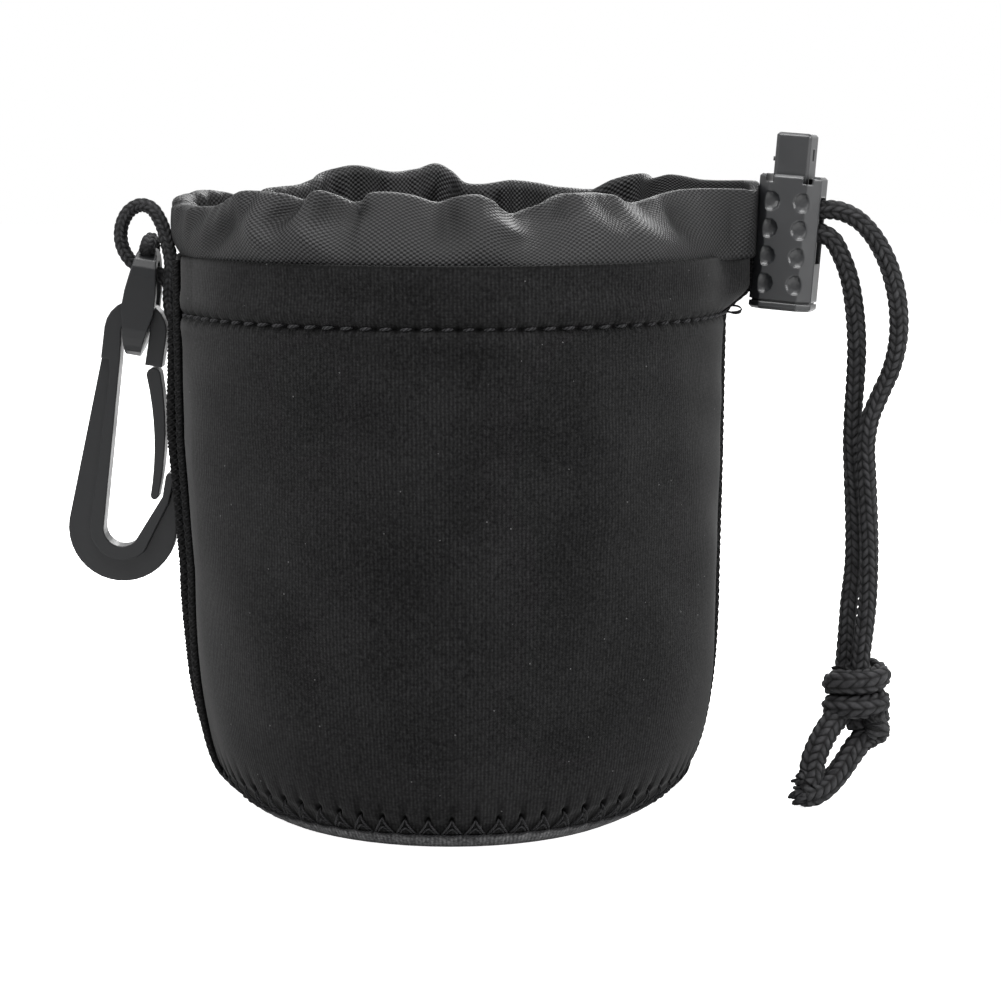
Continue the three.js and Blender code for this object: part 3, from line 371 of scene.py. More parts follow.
def cup_radius(angle, z):
    """Outer radius at an angle and height: the side's swell, a foot that is a little wider from
    front to back, a full left side, and the pull of the cord, in a bell around +X above the stitches."""
    turn = np.arctan2(np.sin(angle), np.cos(angle))
    foot = 1 - 0.07 * np.cos(2 * angle) * np.exp(-z / 3)
    tuck = 1.1 * np.exp(-(((turn + 0.65) / 0.5) ** 2) - z / 7)
    full = 1.5 * np.exp(-(((np.pi - np.abs(turn)) / 0.5) ** 2)) * np.clip((z - 45) / 25, 0, 1)
    lift = np.clip((z - 91.5) / 6.5, 0, 1)
    pull = 5.3 * lift ** 2 * (3 - 2 * lift) * np.exp(-((turn * hem_radius / 8.5) ** 2))
    return between(side_rows, z) * foot - tuck + full + pull


def hole_line(angle):
    """Height of the base seam's holes: lowest in front and behind, a little higher at the sides."""
    return 5.7 + 2.0 * np.cos(angle) ** 2


# Jersey face: fine upright ribs of knit, nearly dead black, with scattered specks of lint.
jersey, shader, nodes, links = node_material("neoprene")
shader.inputs["Roughness"].default_value = 0.95
shader.inputs["Specular IOR Level"].default_value = 0.04
shader.inputs["Sheen Weight"].default_value = 0.06
shader.inputs["Sheen Roughness"].default_value = 0.45
cloth_uv = add(nodes, "UVMap", uv_map="surface")
ribs = add(nodes, "TexWave", wave_type="BANDS", bands_direction="X", in_1=0.44, in_2=0.9, in_3=2.0, in_4=0.9)
courses = add(nodes, "TexWave", wave_type="BANDS", bands_direction="Y", in_1=0.62, in_2=1.6, in_3=2.0,
              in_4=0.9)
course_share = span(nodes, links, courses.outputs["Fac"], in_3=0.6, in_4=1.0)
drawn_out = add(nodes, "VectorMath", operation="MULTIPLY", in_1=(1.0, 0.2, 1.0))
streaks = add(nodes, "TexNoise", in_2=2.6, in_3=5.0, in_4=0.75)
streak_share = span(nodes, links, streaks.outputs["Fac"], in_1=0.3, in_2=0.7, in_3=0.3, in_4=1.5)
for texture in (ribs, courses, drawn_out):
    links.new(cloth_uv.outputs[0], texture.inputs[0])
links.new(drawn_out.outputs[0], streaks.inputs[0])
knit = product(nodes, links, ribs.outputs["Fac"], course_share)
streaky = product(nodes, links, knit, streak_share)
object_place = add(nodes, "TexCoord")
nap = add(nodes, "TexNoise", in_2=1900.0, in_3=2.0)
cloudy = add(nodes, "TexNoise", in_2=60.0, in_3=3.0)
lint = add(nodes, "TexVoronoi", in_2=300.0)
for texture in (nap, cloudy, lint):
    links.new(object_place.outputs["Object"], texture.inputs[0])
knit_bump = bumped(nodes, links, knit, 0.25, 0.0001)
nap_bump = bumped(nodes, links, nap.outputs["Fac"], 0.4, 0.00008, knit_bump)
links.new(nap_bump, shader.inputs["Normal"])
speckled = add(nodes, "Mix", in_0=0.35)
links.new(nap.outputs["Fac"], speckled.inputs[2])
links.new(cloudy.outputs["Fac"], speckled.inputs[3])
face = tone_ramp(nodes, links, speckled.outputs[0],
                 (0.36, (0.0028, 0.0028, 0.0029)), (0.64, (0.0105, 0.0105, 0.0107)))
speck = add(nodes, "Math", operation="LESS_THAN", in_1=0.042)
links.new(lint.outputs["Distance"], speck.inputs[0])
rib_share = span(nodes, links, streaky, in_2=1.0, in_3=0.72, in_4=1.5)
# The raised attribute scales the face's colour. On the cup panels it is painted shade in the stitch groove
# and pits, in the base seam's pits and creases, and beside the seams. At the hem's lip it is the cut edge's
# black foam together with painted shadow under the collar. On the base it is 7.5, which draws the base paler.
painted_shade_and_tone = add(nodes, "Attribute", attribute_name="raised")
rib_painted_shade_and_tone = product(nodes, links, rib_share, painted_shade_and_tone.outputs["Fac"])
dusted = add(nodes, "Mix", data_type="RGBA", in_7=(0.06, 0.06, 0.06, 1))
links.new(speck.outputs[0], dusted.inputs[0])
links.new(multiplied(nodes, links, face, rib_painted_shade_and_tone), dusted.inputs[6])
links.new(dusted.outputs[2], shader.inputs["Base Color"])


def cup_panel(name, start, end, node):
    """Panel between two seam angles. Its section goes up the outer face, over the cut edge of the
    hem and down the inner face. Stitches pull a groove into the outer face and a pit between every
    two; so do the threads of the base seam. The cloth swells between them and sinks at the seams."""
    angle = np.linspace(start, end, 540)[:, None]
    arc = angle * hem_radius
    up = np.concatenate([np.linspace(1.2, 9, 34), np.linspace(9.8, 88, 56), np.linspace(88.4, 97, 40),
                         np.linspace(97.5, 102.5, 10)])
    lip_z = np.array([102.9, 103.2, 103.42, 103.5, 103.5, 103.3, 102.6])
    lip_in = np.array([0.02, 0.12, 0.4, 0.8, 2.4, 3.1, 3.3])
    down = np.concatenate([np.linspace(99.5, 90, 12), np.linspace(86, 2.4, 20)])
    z = np.concatenate([up, lip_z, down])[None, :]
    inset = np.concatenate([np.zeros(len(up)), lip_in, np.full(len(down), cloth_wall)])
    outer = np.concatenate([np.ones(len(up)), np.linspace(0.9, 0, 7), np.zeros(len(down))])[None, :]
    between_stitches = (0.5 - 0.5 * np.cos(2 * np.pi * (arc - stitch_start) / stitch_pitch)) ** 3
    groove = np.exp(-(((z - stitch_height) / 0.6) ** 2))
    swell = (0.34 * np.exp(-(((z - stitch_height - 2.6) / 1.9) ** 2))
             + 0.24 * np.exp(-(((z - stitch_height + 2.4) / 1.7) ** 2)))
    stitch_pit = between_stitches * np.exp(-(((z - stitch_height) / 0.9) ** 2))
    loop = 0.5 + 0.5 * np.cos(base_loops * angle)
    above_hole = z - hole_line(angle)
    pit = loop ** 6 * np.exp(-((above_hole / 0.75) ** 2))
    crease = loop ** 3 * np.exp(-(((above_hole - 1.5) / 1.8) ** 2))
    pressed = np.clip(-above_hole / 1.2, 0, 1) * (0.4 - 0.35 * loop)
    to_seam = np.minimum(np.abs(angle - start), np.abs(end - angle)) * hem_radius
    sway = (0.3 * np.sin(3.1 * angle + 0.05 * z + 0.6) + 0.2 * np.sin(7.3 * angle - 0.083 * z)
            + 0.12 * np.sin(11.7 * angle + 0.12 * z + 2.0) + 0.14 * np.sin(5.1 * angle + 0.031 * z * z / 9))
    radius = cup_radius(angle, z) - inset[None, :]
    swell = swell * (1 - np.exp(-((np.sin(angle / 2) * hem_radius / 5) ** 2)) * (z > stitch_height))
    radius = radius + outer * (swell - 0.5 * groove - 0.3 * stitch_pit - 1.1 * pit - 0.25 * crease - pressed
                               + sway * np.clip(to_seam / 9, 0, 1) * np.clip((z - 3) / 12, 0, 1)
                               - 1.0 * np.exp(-((to_seam / 1.0) ** 2)))
    ragged = 0.09 * np.sin(arc * 7.1 + 2 * np.sin(arc * 1.7)) * np.exp(-((z - 103.4) / 0.3) ** 2)
    grid = on_round(radius, angle, z + ragged)
    # The hem's lip is darker: partly the black foam of the cut edge, partly painted shadow in the gap under
    # the collar.
    cut_edge_and_shadow = [0.8, 0.4, 0.1, 0.1, 0.1, 0.3, 1.0]
    cut_edge_and_shadow = np.concatenate([np.ones(len(up)), cut_edge_and_shadow, np.ones(len(down))])[None, :]
    # Painted shade: the cloth is darkened in the stitch groove, the stitch pits, the base seam's pits and
    # creases, and beside the seams.
    shade = cut_edge_and_shadow * (1 - 0.5 * np.exp(-(((z - stitch_height) / 0.45) ** 2)) * outer)
    shade = shade * (1 - 0.85 * stitch_pit * outer) * (1 - 0.9 * pit * outer) * (1 - 0.45 * crease * outer)
    shade = shade * (1 - 0.9 * np.exp(-((to_seam / 1.15) ** 2)) * outer)
    run = np.concatenate([[0], np.cumsum(np.hypot(np.diff(z[0]), np.diff(inset)))])
    run = np.append(run, run[-1] + cloth_wall)
    uv = np.stack(np.broadcast_arrays(arc, run[None, :]), axis=2)
    panel = skin(name, grid, uv, "pouch", jersey, shade)
    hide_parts(node)
    return panel


gap = 0.25 / hem_radius
front_cup = cup_panel("front_panel_cloth", left_seam + gap, 2 * np.pi - gap, "front_panel")
back_cup = cup_panel("back_panel_cloth", gap, left_seam - gap, "back_panel")

# Base. A disc of the same neoprene, 3.5 mm thick, seamed to the walls around its edge. The edge turns
# up a little and looks paler than the walls.
base_angle = np.linspace(0, 2 * np.pi, 681)[:-1][:, None]
base_share = np.array([
    0.0005, 0.25, 0.5, 0.72, 0.86, 0.95, 1.0, 1.0, 1.0, 1.0, 1.0, 0.98, 0.95, 0.8, 0.4, 0.0005])
base_z = np.array([0, 0, 0, 0, 0, 0, 0.15, 0.6, 1.1, 1.7, 2.3, 2.8, 3.2, 3.5, 3.5, 3.5])[None, :]
base_edge = cup_radius(base_angle, np.clip(base_z, 0, 2.4)) + 0.45 * np.clip(base_z / 0.8, 0, 1) - 0.3
base_wave = 0.16 * np.cos(base_loops * base_angle) * np.clip(base_z / 1.5, 0, 1) * (base_share[None] > 0.97)
base_ring = base_edge * base_share[None] + base_wave
base_grid = on_round(base_ring, base_angle, base_z)
base_around = np.arange(681)[:, None] / 680 * 2 * np.pi * 44
base_across = np.append(base_share * 44 + base_z[0], 0)[None, :]
base_uv = np.stack(np.broadcast_arrays(base_around, base_across), axis=2)
base_cloth = skin("base_cloth", base_grid, base_uv, "pouch", jersey, 7.5, along=True)
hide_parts("base_panel")

# Hem stitches. A lockstitch of slightly lustrous thread runs round the cup below the hem and holds the
# collar, each stitch lying a little aslant in the groove that it pulls into the cloth.
thread_cloth, shader, nodes, links = node_material("thread")
shader.inputs["Roughness"].default_value = 0.7
shader.inputs["Specular IOR Level"].default_value = 0.08
twist_uv = add(nodes, "UVMap", uv_map="surface")
twist = add(nodes, "TexWave", wave_type="BANDS", bands_direction="DIAGONAL", in_1=0.9, in_2=0.8, in_3=1.0)
links.new(twist_uv.outputs[0], twist.inputs[0])
links.new(bumped(nodes, links, twist.outputs["Fac"], 0.7, 0.0001), shader.inputs["Normal"])
strand = tone_ramp(nodes, links, twist.outputs["Fac"],
                   (0, (0.005, 0.005, 0.0055)), (1, (0.022, 0.022, 0.023)))
# Painted shade and light: the raised attribute darkens the thread in the overlock's pits and on its side
# toward the wall, and lightens its outer crests.
crest = add(nodes, "Attribute", attribute_name="raised")
painted_light_share = span(nodes, links, crest.outputs["Fac"], in_3=0.04, in_4=1.5)
links.new(multiplied(nodes, links, strand, painted_light_share), shader.inputs["Base Color"])

hem_arc = stitch_start + stitch_pitch * np.arange(int(2 * np.pi * hem_radius / stitch_pitch))
for seam in (left_seam, 0, 2 * np.pi):
    hem_arc = hem_arc[np.abs(hem_arc - seam * hem_radius) > 2.2]
along_stitch = np.linspace(0, 1, 9)[None, :]
stitch_angle = (hem_arc[:, None] + 2.5 * (along_stitch - 0.5)) / hem_radius
stitch_z = stitch_height + 0.3 * (along_stitch - 0.5) + 0 * hem_arc[:, None]
stitch_r = cup_radius(stitch_angle, stitch_z) - 0.55 + 0.6 * np.sin(np.pi * along_stitch)
loose_threads("hem_stitches", on_round(stitch_r, stitch_angle, stitch_z), 0.62, "pouch",
              thread_cloth)

# Loose ends. Where the hem's stitches meet the right seam, three thread ends stick out, and each curls
# its own way.
end_t = np.linspace(0, 1, 14)[None, :, None]
end_curl = np.array([[0.9, -0.5, 0.6], [1.3, 0.3, -0.5], [0.5, -1.0, -0.8]])[:, None] * np.sin(2.4 * end_t)
end_paths = np.array([[50.6, -1.6, 93.6], [50.9, -0.9, 92.4], [50.4, -2.2, 93.0]])[:, None] + (
    np.array([[2.6, -0.8, -0.9], [2.2, -0.6, 1.1], [3.0, -1.2, 0.3]])[:, None] * end_t + end_curl)
loose_threads("loose_ends_at_right_seam", end_paths, 0.42, "pouch", thread_cloth)

# Base seam. Thread comes out of a pit in the wall, and two legs of it spread down to the turned-up
# edge of the base, where a second thread links their feet in a scalloped line.
loop_angle = 2 * np.pi * np.arange(base_loops) / base_loops
loop_angle = loop_angle[np.abs(np.angle(np.exp(1j * (loop_angle - left_seam)))) > 0.045][:, None]
half_loop = np.pi / base_loops
t = np.linspace(0, 1, 12)[None, :]


def seam_thread(turn, z, stand):
    """Threads on the foot of the cup: turn from each loop's angle, height, and how far off the wall."""
    angle, z = loop_angle + turn, z + 0 * loop_angle
    radius = cup_radius(angle, z) - 0.35 + stand
    return on_round(radius, angle, z)


leg_z = hole_line(loop_angle) - 0.1 - (hole_line(loop_angle) - 2.5) * t
leg_stand = 0.75 * np.sin(np.pi * np.clip(t * 1.15, 0, 1)) ** 0.6 - 0.45 * (1 - t) ** 6
link_stand = 0.25 + 0.45 * np.sin(np.pi * t)
base_threads = loose_threads("base_seam_threads", np.concatenate([
    seam_thread(half_loop * t ** 1.3, leg_z, leg_stand),
    seam_thread(-half_loop * t ** 1.3, leg_z, leg_stand),
    seam_thread(half_loop * (2 * t - 1), 2.7 - 0.25 * np.sin(np.pi * t), link_stand),
    seam_thread(half_loop * (1.2 * t - 0.6), 2.6 + 1.3 * np.sin(np.pi * t), link_stand),
]), 0.38, "pouch", thread_cloth, 0.2)
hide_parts("base_seam_band")


# Side seams. Overlock thread covers the raw edges in a lumpy ridge: threads cross it both ways, with
# pits between that are darkened by painted shade, and the cloth shows as a narrow groove on each side.
def overlock(name, path, out, width, height, pitch, node):
    """Ridge of oval section on a path. Threads cross it at s / pitch plus and less 0.8 times the
    place across, and raise it by a bell-shaped ridge each, the higher of the two counting."""
    run = run_of(path)
    s = np.linspace(0, run[-1], int(run[-1] / 0.13))
    line = np.stack([np.interp(s, run, path[:, k]) for k in range(3)], axis=1)
    off = np.stack([np.interp(s, run, out[:, k]) for k in range(3)], axis=1)
    off /= np.linalg.norm(off, axis=1)[:, None]
    ahead = np.gradient(line, axis=0)
    ahead /= np.linalg.norm(ahead, axis=1)[:, None]
    side = np.cross(ahead, off)
    turn = np.arange(29) / 28 * 2 * np.pi
    place = np.cos(turn)[None, :]
    wander = 0.06 * np.sin(s * 1.7)[:, None] + 0.04 * np.sin(s * 0.61 + 2)[:, None]
    rising = np.exp(-((((s[:, None] / pitch + 0.8 * place + wander) % 1) - 0.5) / 0.16) ** 2)
    falling = np.exp(-((((s[:, None] / pitch - 0.8 * place - wander) % 1) - 0.5) / 0.14) ** 2)
    raised = np.maximum(rising, 0.85 * falling) - 0.55
    facing = np.clip(np.sin(turn)[None, :] + 0.5, 0, 1)
    half_width = width / 2 + 0.34 * raised * facing
    half_height = height / 2 + 0.34 * raised * facing
    grid = (line[:, None] + side[:, None] * (half_width * place)[..., None]
            + off[:, None] * (half_height * np.sin(turn)[None, :] + 0.4 * height)[..., None])[:, :-1]
    uv = np.stack(np.broadcast_arrays(turn[None, :] * width / 3, s[:, None] * 1.2), axis=2)
    # Painted shade: darker in the pits between crossings and on the side toward the wall, lighter on crests
    # facing out.
    lit = np.clip((raised + 0.2) / 0.6, 0, 1) ** 1.6 * (0.08 + 0.3 * facing)
    ridge = skin(name, grid, uv, "pouch", thread_cloth, lit[:, :-1])
    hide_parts(node)
    return ridge


def seam_line(angle, low, high, stand):
    """Line up the cup at an angle, standing off the wall by a distance, and the way off the wall."""
    z = np.linspace(low, high, 160)
    radius = cup_radius(angle + 0 * z, z) + stand
    return on_round(radius, angle, z), np.stack([np.cos(angle) + 0 * z, np.sin(angle) + 0 * z, 0 * z], axis=1)


overlock("left_seam_overlock", *seam_line(left_seam, 1.6, 102.6, -0.25), 2.3, 1.6, 1.5, "left_seam_ridge")
overlock("right_seam_overlock", *seam_line(0.0, 2.6, 103.3, -0.65), 2.2, 1.5, 1.45, "right_seam_ridge")

# Belt loop. A strip of the same neoprene beside the left seam, sewn in at the base seam and below
# the hem, and free between, so that a belt passes behind it. Both long edges are overlocked.
belt_rows = np.array([
    [2.0, 0.8], [11.8, 0.85], [17.5, 1.3], [23, 1.6], [29, 1.75], [35, 1.95], [40.5, 2.1], [46, 2.0],
    [58, 1.65], [69, 1.8], [75, 1.9], [80, 1.8], [86, 1.7], [93, 1.5]])
belt_width = 32
belt_cloth = 1.8
belt_near = np.radians(185.5)
belt_far = belt_near - belt_width / hem_radius


def belt_face(angle, z):
    """Outer radius of the strip: the cup's left side, the strip's own stand off it, and the near
    edge's curl away from it, strongest at two thirds of the height."""
    curl = 0.65 * np.exp(-(((z - 62) / 20) ** 2) - (((belt_near - angle) / 0.052) ** 2))
    return cup_radius(np.pi + 0 * z, z) + between(belt_rows, z) + curl


belt_z = np.linspace(3.4, 92.8, 130)[:, None]
belt_across = np.linspace(belt_near, belt_far, 40)
belt_turn = np.concatenate([belt_across, belt_across[::-1]])[None, :]
belt_in = np.concatenate([np.zeros(40), np.full(40, belt_cloth)])[None, :]
to_edge = np.minimum(np.abs(belt_turn - belt_near), np.abs(belt_turn - belt_far)) * hem_radius
rounding = 0.55 * np.exp(-((to_edge / 0.7) ** 2))
belt_r = belt_face(belt_turn, belt_z + 0 * belt_turn) - belt_in + np.where(belt_in > 0, rounding, -rounding)
belt_grid = on_round(belt_r, belt_turn, belt_z)
belt_arc = np.append(belt_turn[0], belt_near)[None, :] * hem_radius
belt_uv = np.stack(np.broadcast_arrays(belt_arc, belt_z), axis=2)
belt_strip = skin("belt_loop_cloth", belt_grid, belt_uv, "pouch", jersey)
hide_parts("belt_loop")
edge_z = np.linspace(2.0, 92.8, 160)
for side_name, edge_angle, sign in (("near", belt_near, 1), ("far", belt_far, -1)):
    edge_r = belt_face(edge_angle, edge_z) - belt_cloth / 2
    edge_path = on_round(edge_r, edge_angle, edge_z)
    edge_out = np.broadcast_to([-sign * np.sin(edge_angle), sign * np.cos(edge_angle), 0], edge_path.shape)
    overlock(side_name + "_edge_overlock", edge_path - 0.4 * edge_out, edge_out, 2.3, 2.0, 1.5,
             "belt_loop_" + side_name + "_edge")

# Collar. Thin dark grey nylon of a coarse basket weave, sewn inside the hem. Its rim is folded over
# the drawcord and gathered: it leans in, ripples, and runs out into a flat spout at the lock.
rim_reach, rim_spread = 54, 40
rim_shares = np.array([
    [1.0, 0.02], [0.985, -0.09], [0.91, -0.17], [0.76, -0.29], [0.6, -0.52], [0.38, -0.79], [0.12, -0.96],
    [-0.18, -0.98], [-0.48, -0.84], [-0.72, -0.58], [-0.865, -0.28], [-0.9, 0], [-0.865, 0.28],
    [-0.72, 0.58], [-0.48, 0.84], [-0.18, 0.98], [0.12, 0.97], [0.38, 0.82], [0.6, 0.6], [0.76, 0.43],
    [0.89, 0.28], [0.975, 0.16],
])
rim_step = 0.25
rim_laps = np.concatenate([rim_shares, rim_shares, rim_shares, rim_shares[:1]]) * [rim_reach, rim_spread]
rim_long = smooth_path(np.column_stack([rim_laps, 0 * rim_laps[:, 0]]), rim_step)
rim_line = rim_long[len(rim_long) // 3:len(rim_long) * 2 // 3]

# Height of the folded rim along X, in front and behind, where the gathers lift and drop it
front_ridge = np.array([
    [-53, 112.6], [-50, 112.4], [-46, 112.3], [-43.5, 112.6], [-41, 113.6], [-37.3, 115.3], [-33.5, 115.3],
    [-30.3, 115.0], [-27.5, 114.0], [-22.9, 115.7], [-20.5, 114.7], [-18.3, 113.7], [-16, 114.0],
    [-13.7, 115.4], [-7.4, 115.1], [-2.3, 113.7], [1.6, 114.8], [4.7, 115.0], [7.1, 114.0], [9.4, 112.4],
    [11.7, 111.6], [14.8, 112.6], [19.1, 114.8], [23, 115.1], [27.4, 114.9], [33.1, 113.2], [36.3, 114.1],
    [41.8, 115.6], [53.2, 115.6], [56, 115.2]])
back_ridge = np.array([
    [-53, 113.2], [-50.5, 114.3], [-48, 114.6], [-45.7, 114.2], [-42.5, 112.9], [-40.5, 113.2], [-38, 114.6],
    [-31.2, 115.5], [-26.3, 117.6], [-21.2, 119.0], [-13.6, 117.7], [-8, 118.3], [-4.4, 119.3], [-1.6, 118.0],
    [1.0, 116.0], [2.6, 115.4], [6, 115.3], [10.5, 116.0], [16, 115.6], [22, 114.7], [28.5, 114.5],
    [30.4, 115.3], [31.8, 116.6], [35.5, 117.8], [39.1, 117.1], [41.9, 117.9], [47.8, 117.0], [56, 117.0]])

# Folds in the wall, in front and behind: X at the rim, X at the foot, how far it stands out (in, where
# negative), half its width, the share of the wall's height where it is deepest, and half its height
front_folds = np.array([
    [-36, -43, -1.5, 2.6, 0.5, 0.3], [-27, -36, -1.5, 2.2, 0.8, 0.22], [-21, -26, -1.3, 2.2, 0.78, 0.2],
    [-16, -15, -1.1, 2.5, 0.8, 0.16], [0, 1, -1.9, 3.2, 0.62, 0.3], [9.4, 9.4, 1.5, 3.0, 0.72, 0.14],
    [19, 21, -1.2, 2.4, 0.86, 0.14], [26, 31, -1.0, 2.2, 0.78, 0.2], [38.5, 43, -1.5, 2.4, 0.6, 0.3],
    [-34, -31, 1.2, 2.6, 0.55, 0.3], [-24, -22, 1.0, 3.5, 0.5, 0.3], [23, 25, 1.1, 2.6, 0.6, 0.3],
    [32, 35, 1.1, 3.0, 0.5, 0.3]])
back_folds = np.array([
    [-38, -36, -1.0, 2.4, 0.8, 0.3], [-27, -25, 1.3, 2.4, 0.85, 0.35], [-20, -19, -1.5, 3.0, 0.85, 0.35],
    [-11, -12, 1.0, 2.6, 0.8, 0.3], [-3, -5, 1.3, 2.4, 0.85, 0.3], [2.5, 4, -1.6, 2.6, 0.85, 0.35],
    [10, 10, 1.0, 2.8, 0.8, 0.3], [18, 17, -0.9, 3.0, 0.8, 0.3], [26, 24, 1.0, 2.4, 0.8, 0.3],
    [31, 30, -1.4, 2.0, 0.85, 0.35], [36, 36, 1.1, 2.2, 0.8, 0.35], [40, 41, -1.0, 1.8, 0.85, 0.35]])


def rim_frame(columns):
    """Rim at even shares of its length: place in plan, way out, height, how much that differs from
    the height nearby, how far each place is gathered, from 0 in the spout to 1, and how far it is on
    the back, from 0 to 1. The plan is let out at the left corner and at the spout's end."""
    share = np.arange(columns) / columns
    lap = np.concatenate([rim_line, rim_line[:1]])
    at = share * len(rim_line)
    plan = np.stack([np.interp(at, np.arange(len(lap)), lap[:, k]) for k in range(3)], axis=1)
    ahead = np.roll(plan, -3, axis=0) - np.roll(plan, 3, axis=0)
    out = np.stack([-ahead[:, 1], ahead[:, 0], 0 * share], axis=1)
    out /= np.linalg.norm(out, axis=1)[:, None]
    out *= np.sign(np.sum(out * plan, axis=1))[:, None]
    left = np.clip((-plan[:, 0] - 36) / 12, 0, 1) ** 2
    end = np.clip((plan[:, 0] - 46) / 7, 0, 1) ** 2
    plan = plan + np.stack([2.6 * end - 3.2 * left, 0 * share, 0 * share], axis=1)
    side = np.clip(0.5 + (plan[:, 1] + 1.5 * end) / (8 - 3 * end), 0, 1)
    side = side * side * (3 - 2 * side)
    height = between(front_ridge, plan[:, 0]) * (1 - side) + between(back_ridge, plan[:, 0]) * side
    window = np.hanning(columns // 9)
    lap = np.concatenate([height] * 3)
    nearby = np.convolve(lap, window / window.sum(), mode="same")[columns:2 * columns]
    gathered = np.clip((np.minimum(share, 1 - share) - 0.07) / 0.06, 0, 1)
    return share, plan, out, height, height - nearby, gathered, side


def folds(table, across, rise):
    """Sum of a table's folds at X and at a share of the wall's height: each is a bell across its own
    leaning line times a bell up it."""
    total = 0 * across
    for rim_x, foot_x, stand, width, deepest, reach in table:
        middle = foot_x + (rim_x - foot_x) * rise
        total = total + stand * np.exp(-(((across - middle) / width) ** 2) - ((rise - deepest) / reach) ** 2)
    return total


# Basket weave: little floats of yarn 0.6 mm wide and 0.4 mm high, every second one raised, with dark
# pores between, a little lustrous on the floats.
weave_width, weave_height, weave_repeats = 1.17, 0.82, 280
weave, shader, nodes, links = node_material("nylon")
shader.inputs["Roughness"].default_value = 0.55
shader.inputs["Specular IOR Level"].default_value = 0.13
cloth_uv = add(nodes, "UVMap", uv_map="surface")
split_uv = add(nodes, "SeparateXYZ")
links.new(cloth_uv.outputs[0], split_uv.inputs[0])
waves = []
for axis, period in enumerate((weave_width, weave_height)):
    scaled = add(nodes, "Math", operation="MULTIPLY", in_1=2 * np.pi / period)
    wave = add(nodes, "Math", operation="SINE")
    links.new(split_uv.outputs[axis], scaled.inputs[0])
    links.new(scaled.outputs[0], wave.inputs[0])
    waves.append(wave)
over = product(nodes, links, waves[0].outputs[0], waves[1].outputs[0])
float_height = span(nodes, links, over, in_1=-0.8, in_2=0.8)
links.new(bumped(nodes, links, float_height, 0.7, 0.0002), shader.inputs["Normal"])
floats = tone_ramp(nodes, links, float_height,
                   (0.4, (0.0008, 0.0008, 0.0009)), (0.64, (0.0255, 0.0255, 0.0262)))
# The raised attribute is painted shade and light on the collar.
painted_light_on_collar = add(nodes, "Attribute", attribute_name="raised")
links.new(multiplied(nodes, links, floats, painted_light_on_collar.outputs["Fac"]), shader.inputs["Base Color"])

# The collar's section goes up from inside the cup through the hem, up the wall, over the fold at the
# rim and down the flap that closes the drawcord's channel
columns, wall_rows, flap_rows = 760, 46, 8
collar_foot, flap_base, crease_strength, channel_depth = 102.6, 103, 1.35, 8.0
share, plan, out, height, crest_lift, gathered, on_back = rim_frame(columns)
around = share * len(rim_line) * rim_step
fine = (0.22 * np.sin(around * 2 * np.pi / 8.3 + 1.2 * np.sin(around * 0.11))
        + 0.15 * np.sin(around * 2 * np.pi / 5.2 + 1.3) + 0.08 * np.sin(around * 2 * np.pi / 3.1 + 0.4))
gathers = gathered * (0.9 * crest_lift + fine)
column_angle = -share * 2 * np.pi
throat = cup_radius(column_angle, np.full(columns, hem_height)) - 1.9
foot = on_round(throat, column_angle, collar_foot)
bore = 0.7 + 1.25 * gathered
crest = plan + out * (bore * 0.4)[:, None] + np.stack([0 * share, 0 * share, height - 0.5], axis=1)
rise = np.linspace(0, 1, wall_rows)[:, None]
at_end = np.clip((plan[:, 0] - 42) / 9, 0, 1) ** 2
at_left = np.clip((-plan[:, 0] - 38) / 10, 0, 1)
slow_wave = np.sin(around * 2 * np.pi / 31 + 0.8)
belly = (2.5 * (1 - at_end) * (1 - 0.45 * at_left) * np.sin(np.pi * rise ** 0.8)
         + 0.7 * np.sin(np.pi * rise) ** 2 * slow_wave * (1 - at_end) * (1 - at_left)
         + 2.6 * at_end * (1 - rise) * (1 - np.exp(-rise / 0.012)))
wall = foot[None] * (1 - rise[..., None]) + crest[None] * rise[..., None]
across = wall[..., 0]
creased = crease_strength * (
    folds(front_folds, across, rise) * (1 - on_back) + folds(back_folds, across, rise) * on_back)
rippled = gathers * 1.6 * rise ** 2.2 * (1.25 - 0.25 * rise)
wall += out[None] * (belly + rippled + creased * (1 - at_end))[..., None]
fold_turn = np.radians(np.linspace(35, 170, 8))[:, None, None]
fold = wall[-1][None] + out[None] * (bore[None, :, None] * (np.cos(fold_turn) - np.cos(fold_turn[0])))
fold[..., 2] += (bore[None, :, None] * 0.75 * (np.sin(fold_turn) - np.sin(fold_turn[0])))[..., 0]
drop = np.linspace(0.06, 1, flap_rows)[:, None]
least_depth = 0.08 + 0.5 * np.maximum(on_back, 1 - at_end)
depth = channel_depth * drop * np.clip(gathered * 1.5, least_depth, 1)[None]
beside = np.clip((wall_rows - 1) * (1 - depth / (height - flap_base)[None]), 0, wall_rows - 1.01)
low, column = beside.astype(int), np.arange(columns)[None]
part = (beside - low)[..., None]
wall_beside = wall[low, column] * (1 - part) + wall[low + 1, column] * part
room = np.sum((wall_beside - fold[-1][None]) * out[None], axis=2) - 1.2
flap = fold[-1][None] + out[None] * np.minimum(-0.3 * drop, room)[..., None]
flap[..., 2] -= depth
hidden = np.linspace(0, 1, 4)[:-1][:, None]
hidden_z = 90 + 12.2 * hidden
hidden_r = cup_radius(column_angle[None] + 0 * hidden, hidden_z) - 4.4 + 1.8 * hidden ** 3
tuck = on_round(hidden_r, column_angle, hidden_z)
collar_grid = np.concatenate([tuck, wall, fold[1:], flap])
climb = np.concatenate([[0], np.cumsum(np.linalg.norm(np.diff(collar_grid, axis=0), axis=2).mean(axis=1))])
collar_around = np.arange(columns + 1)[None, :] / columns * weave_repeats * weave_width
collar_uv = np.stack(np.broadcast_arrays(collar_around, climb[:, None]), axis=2)
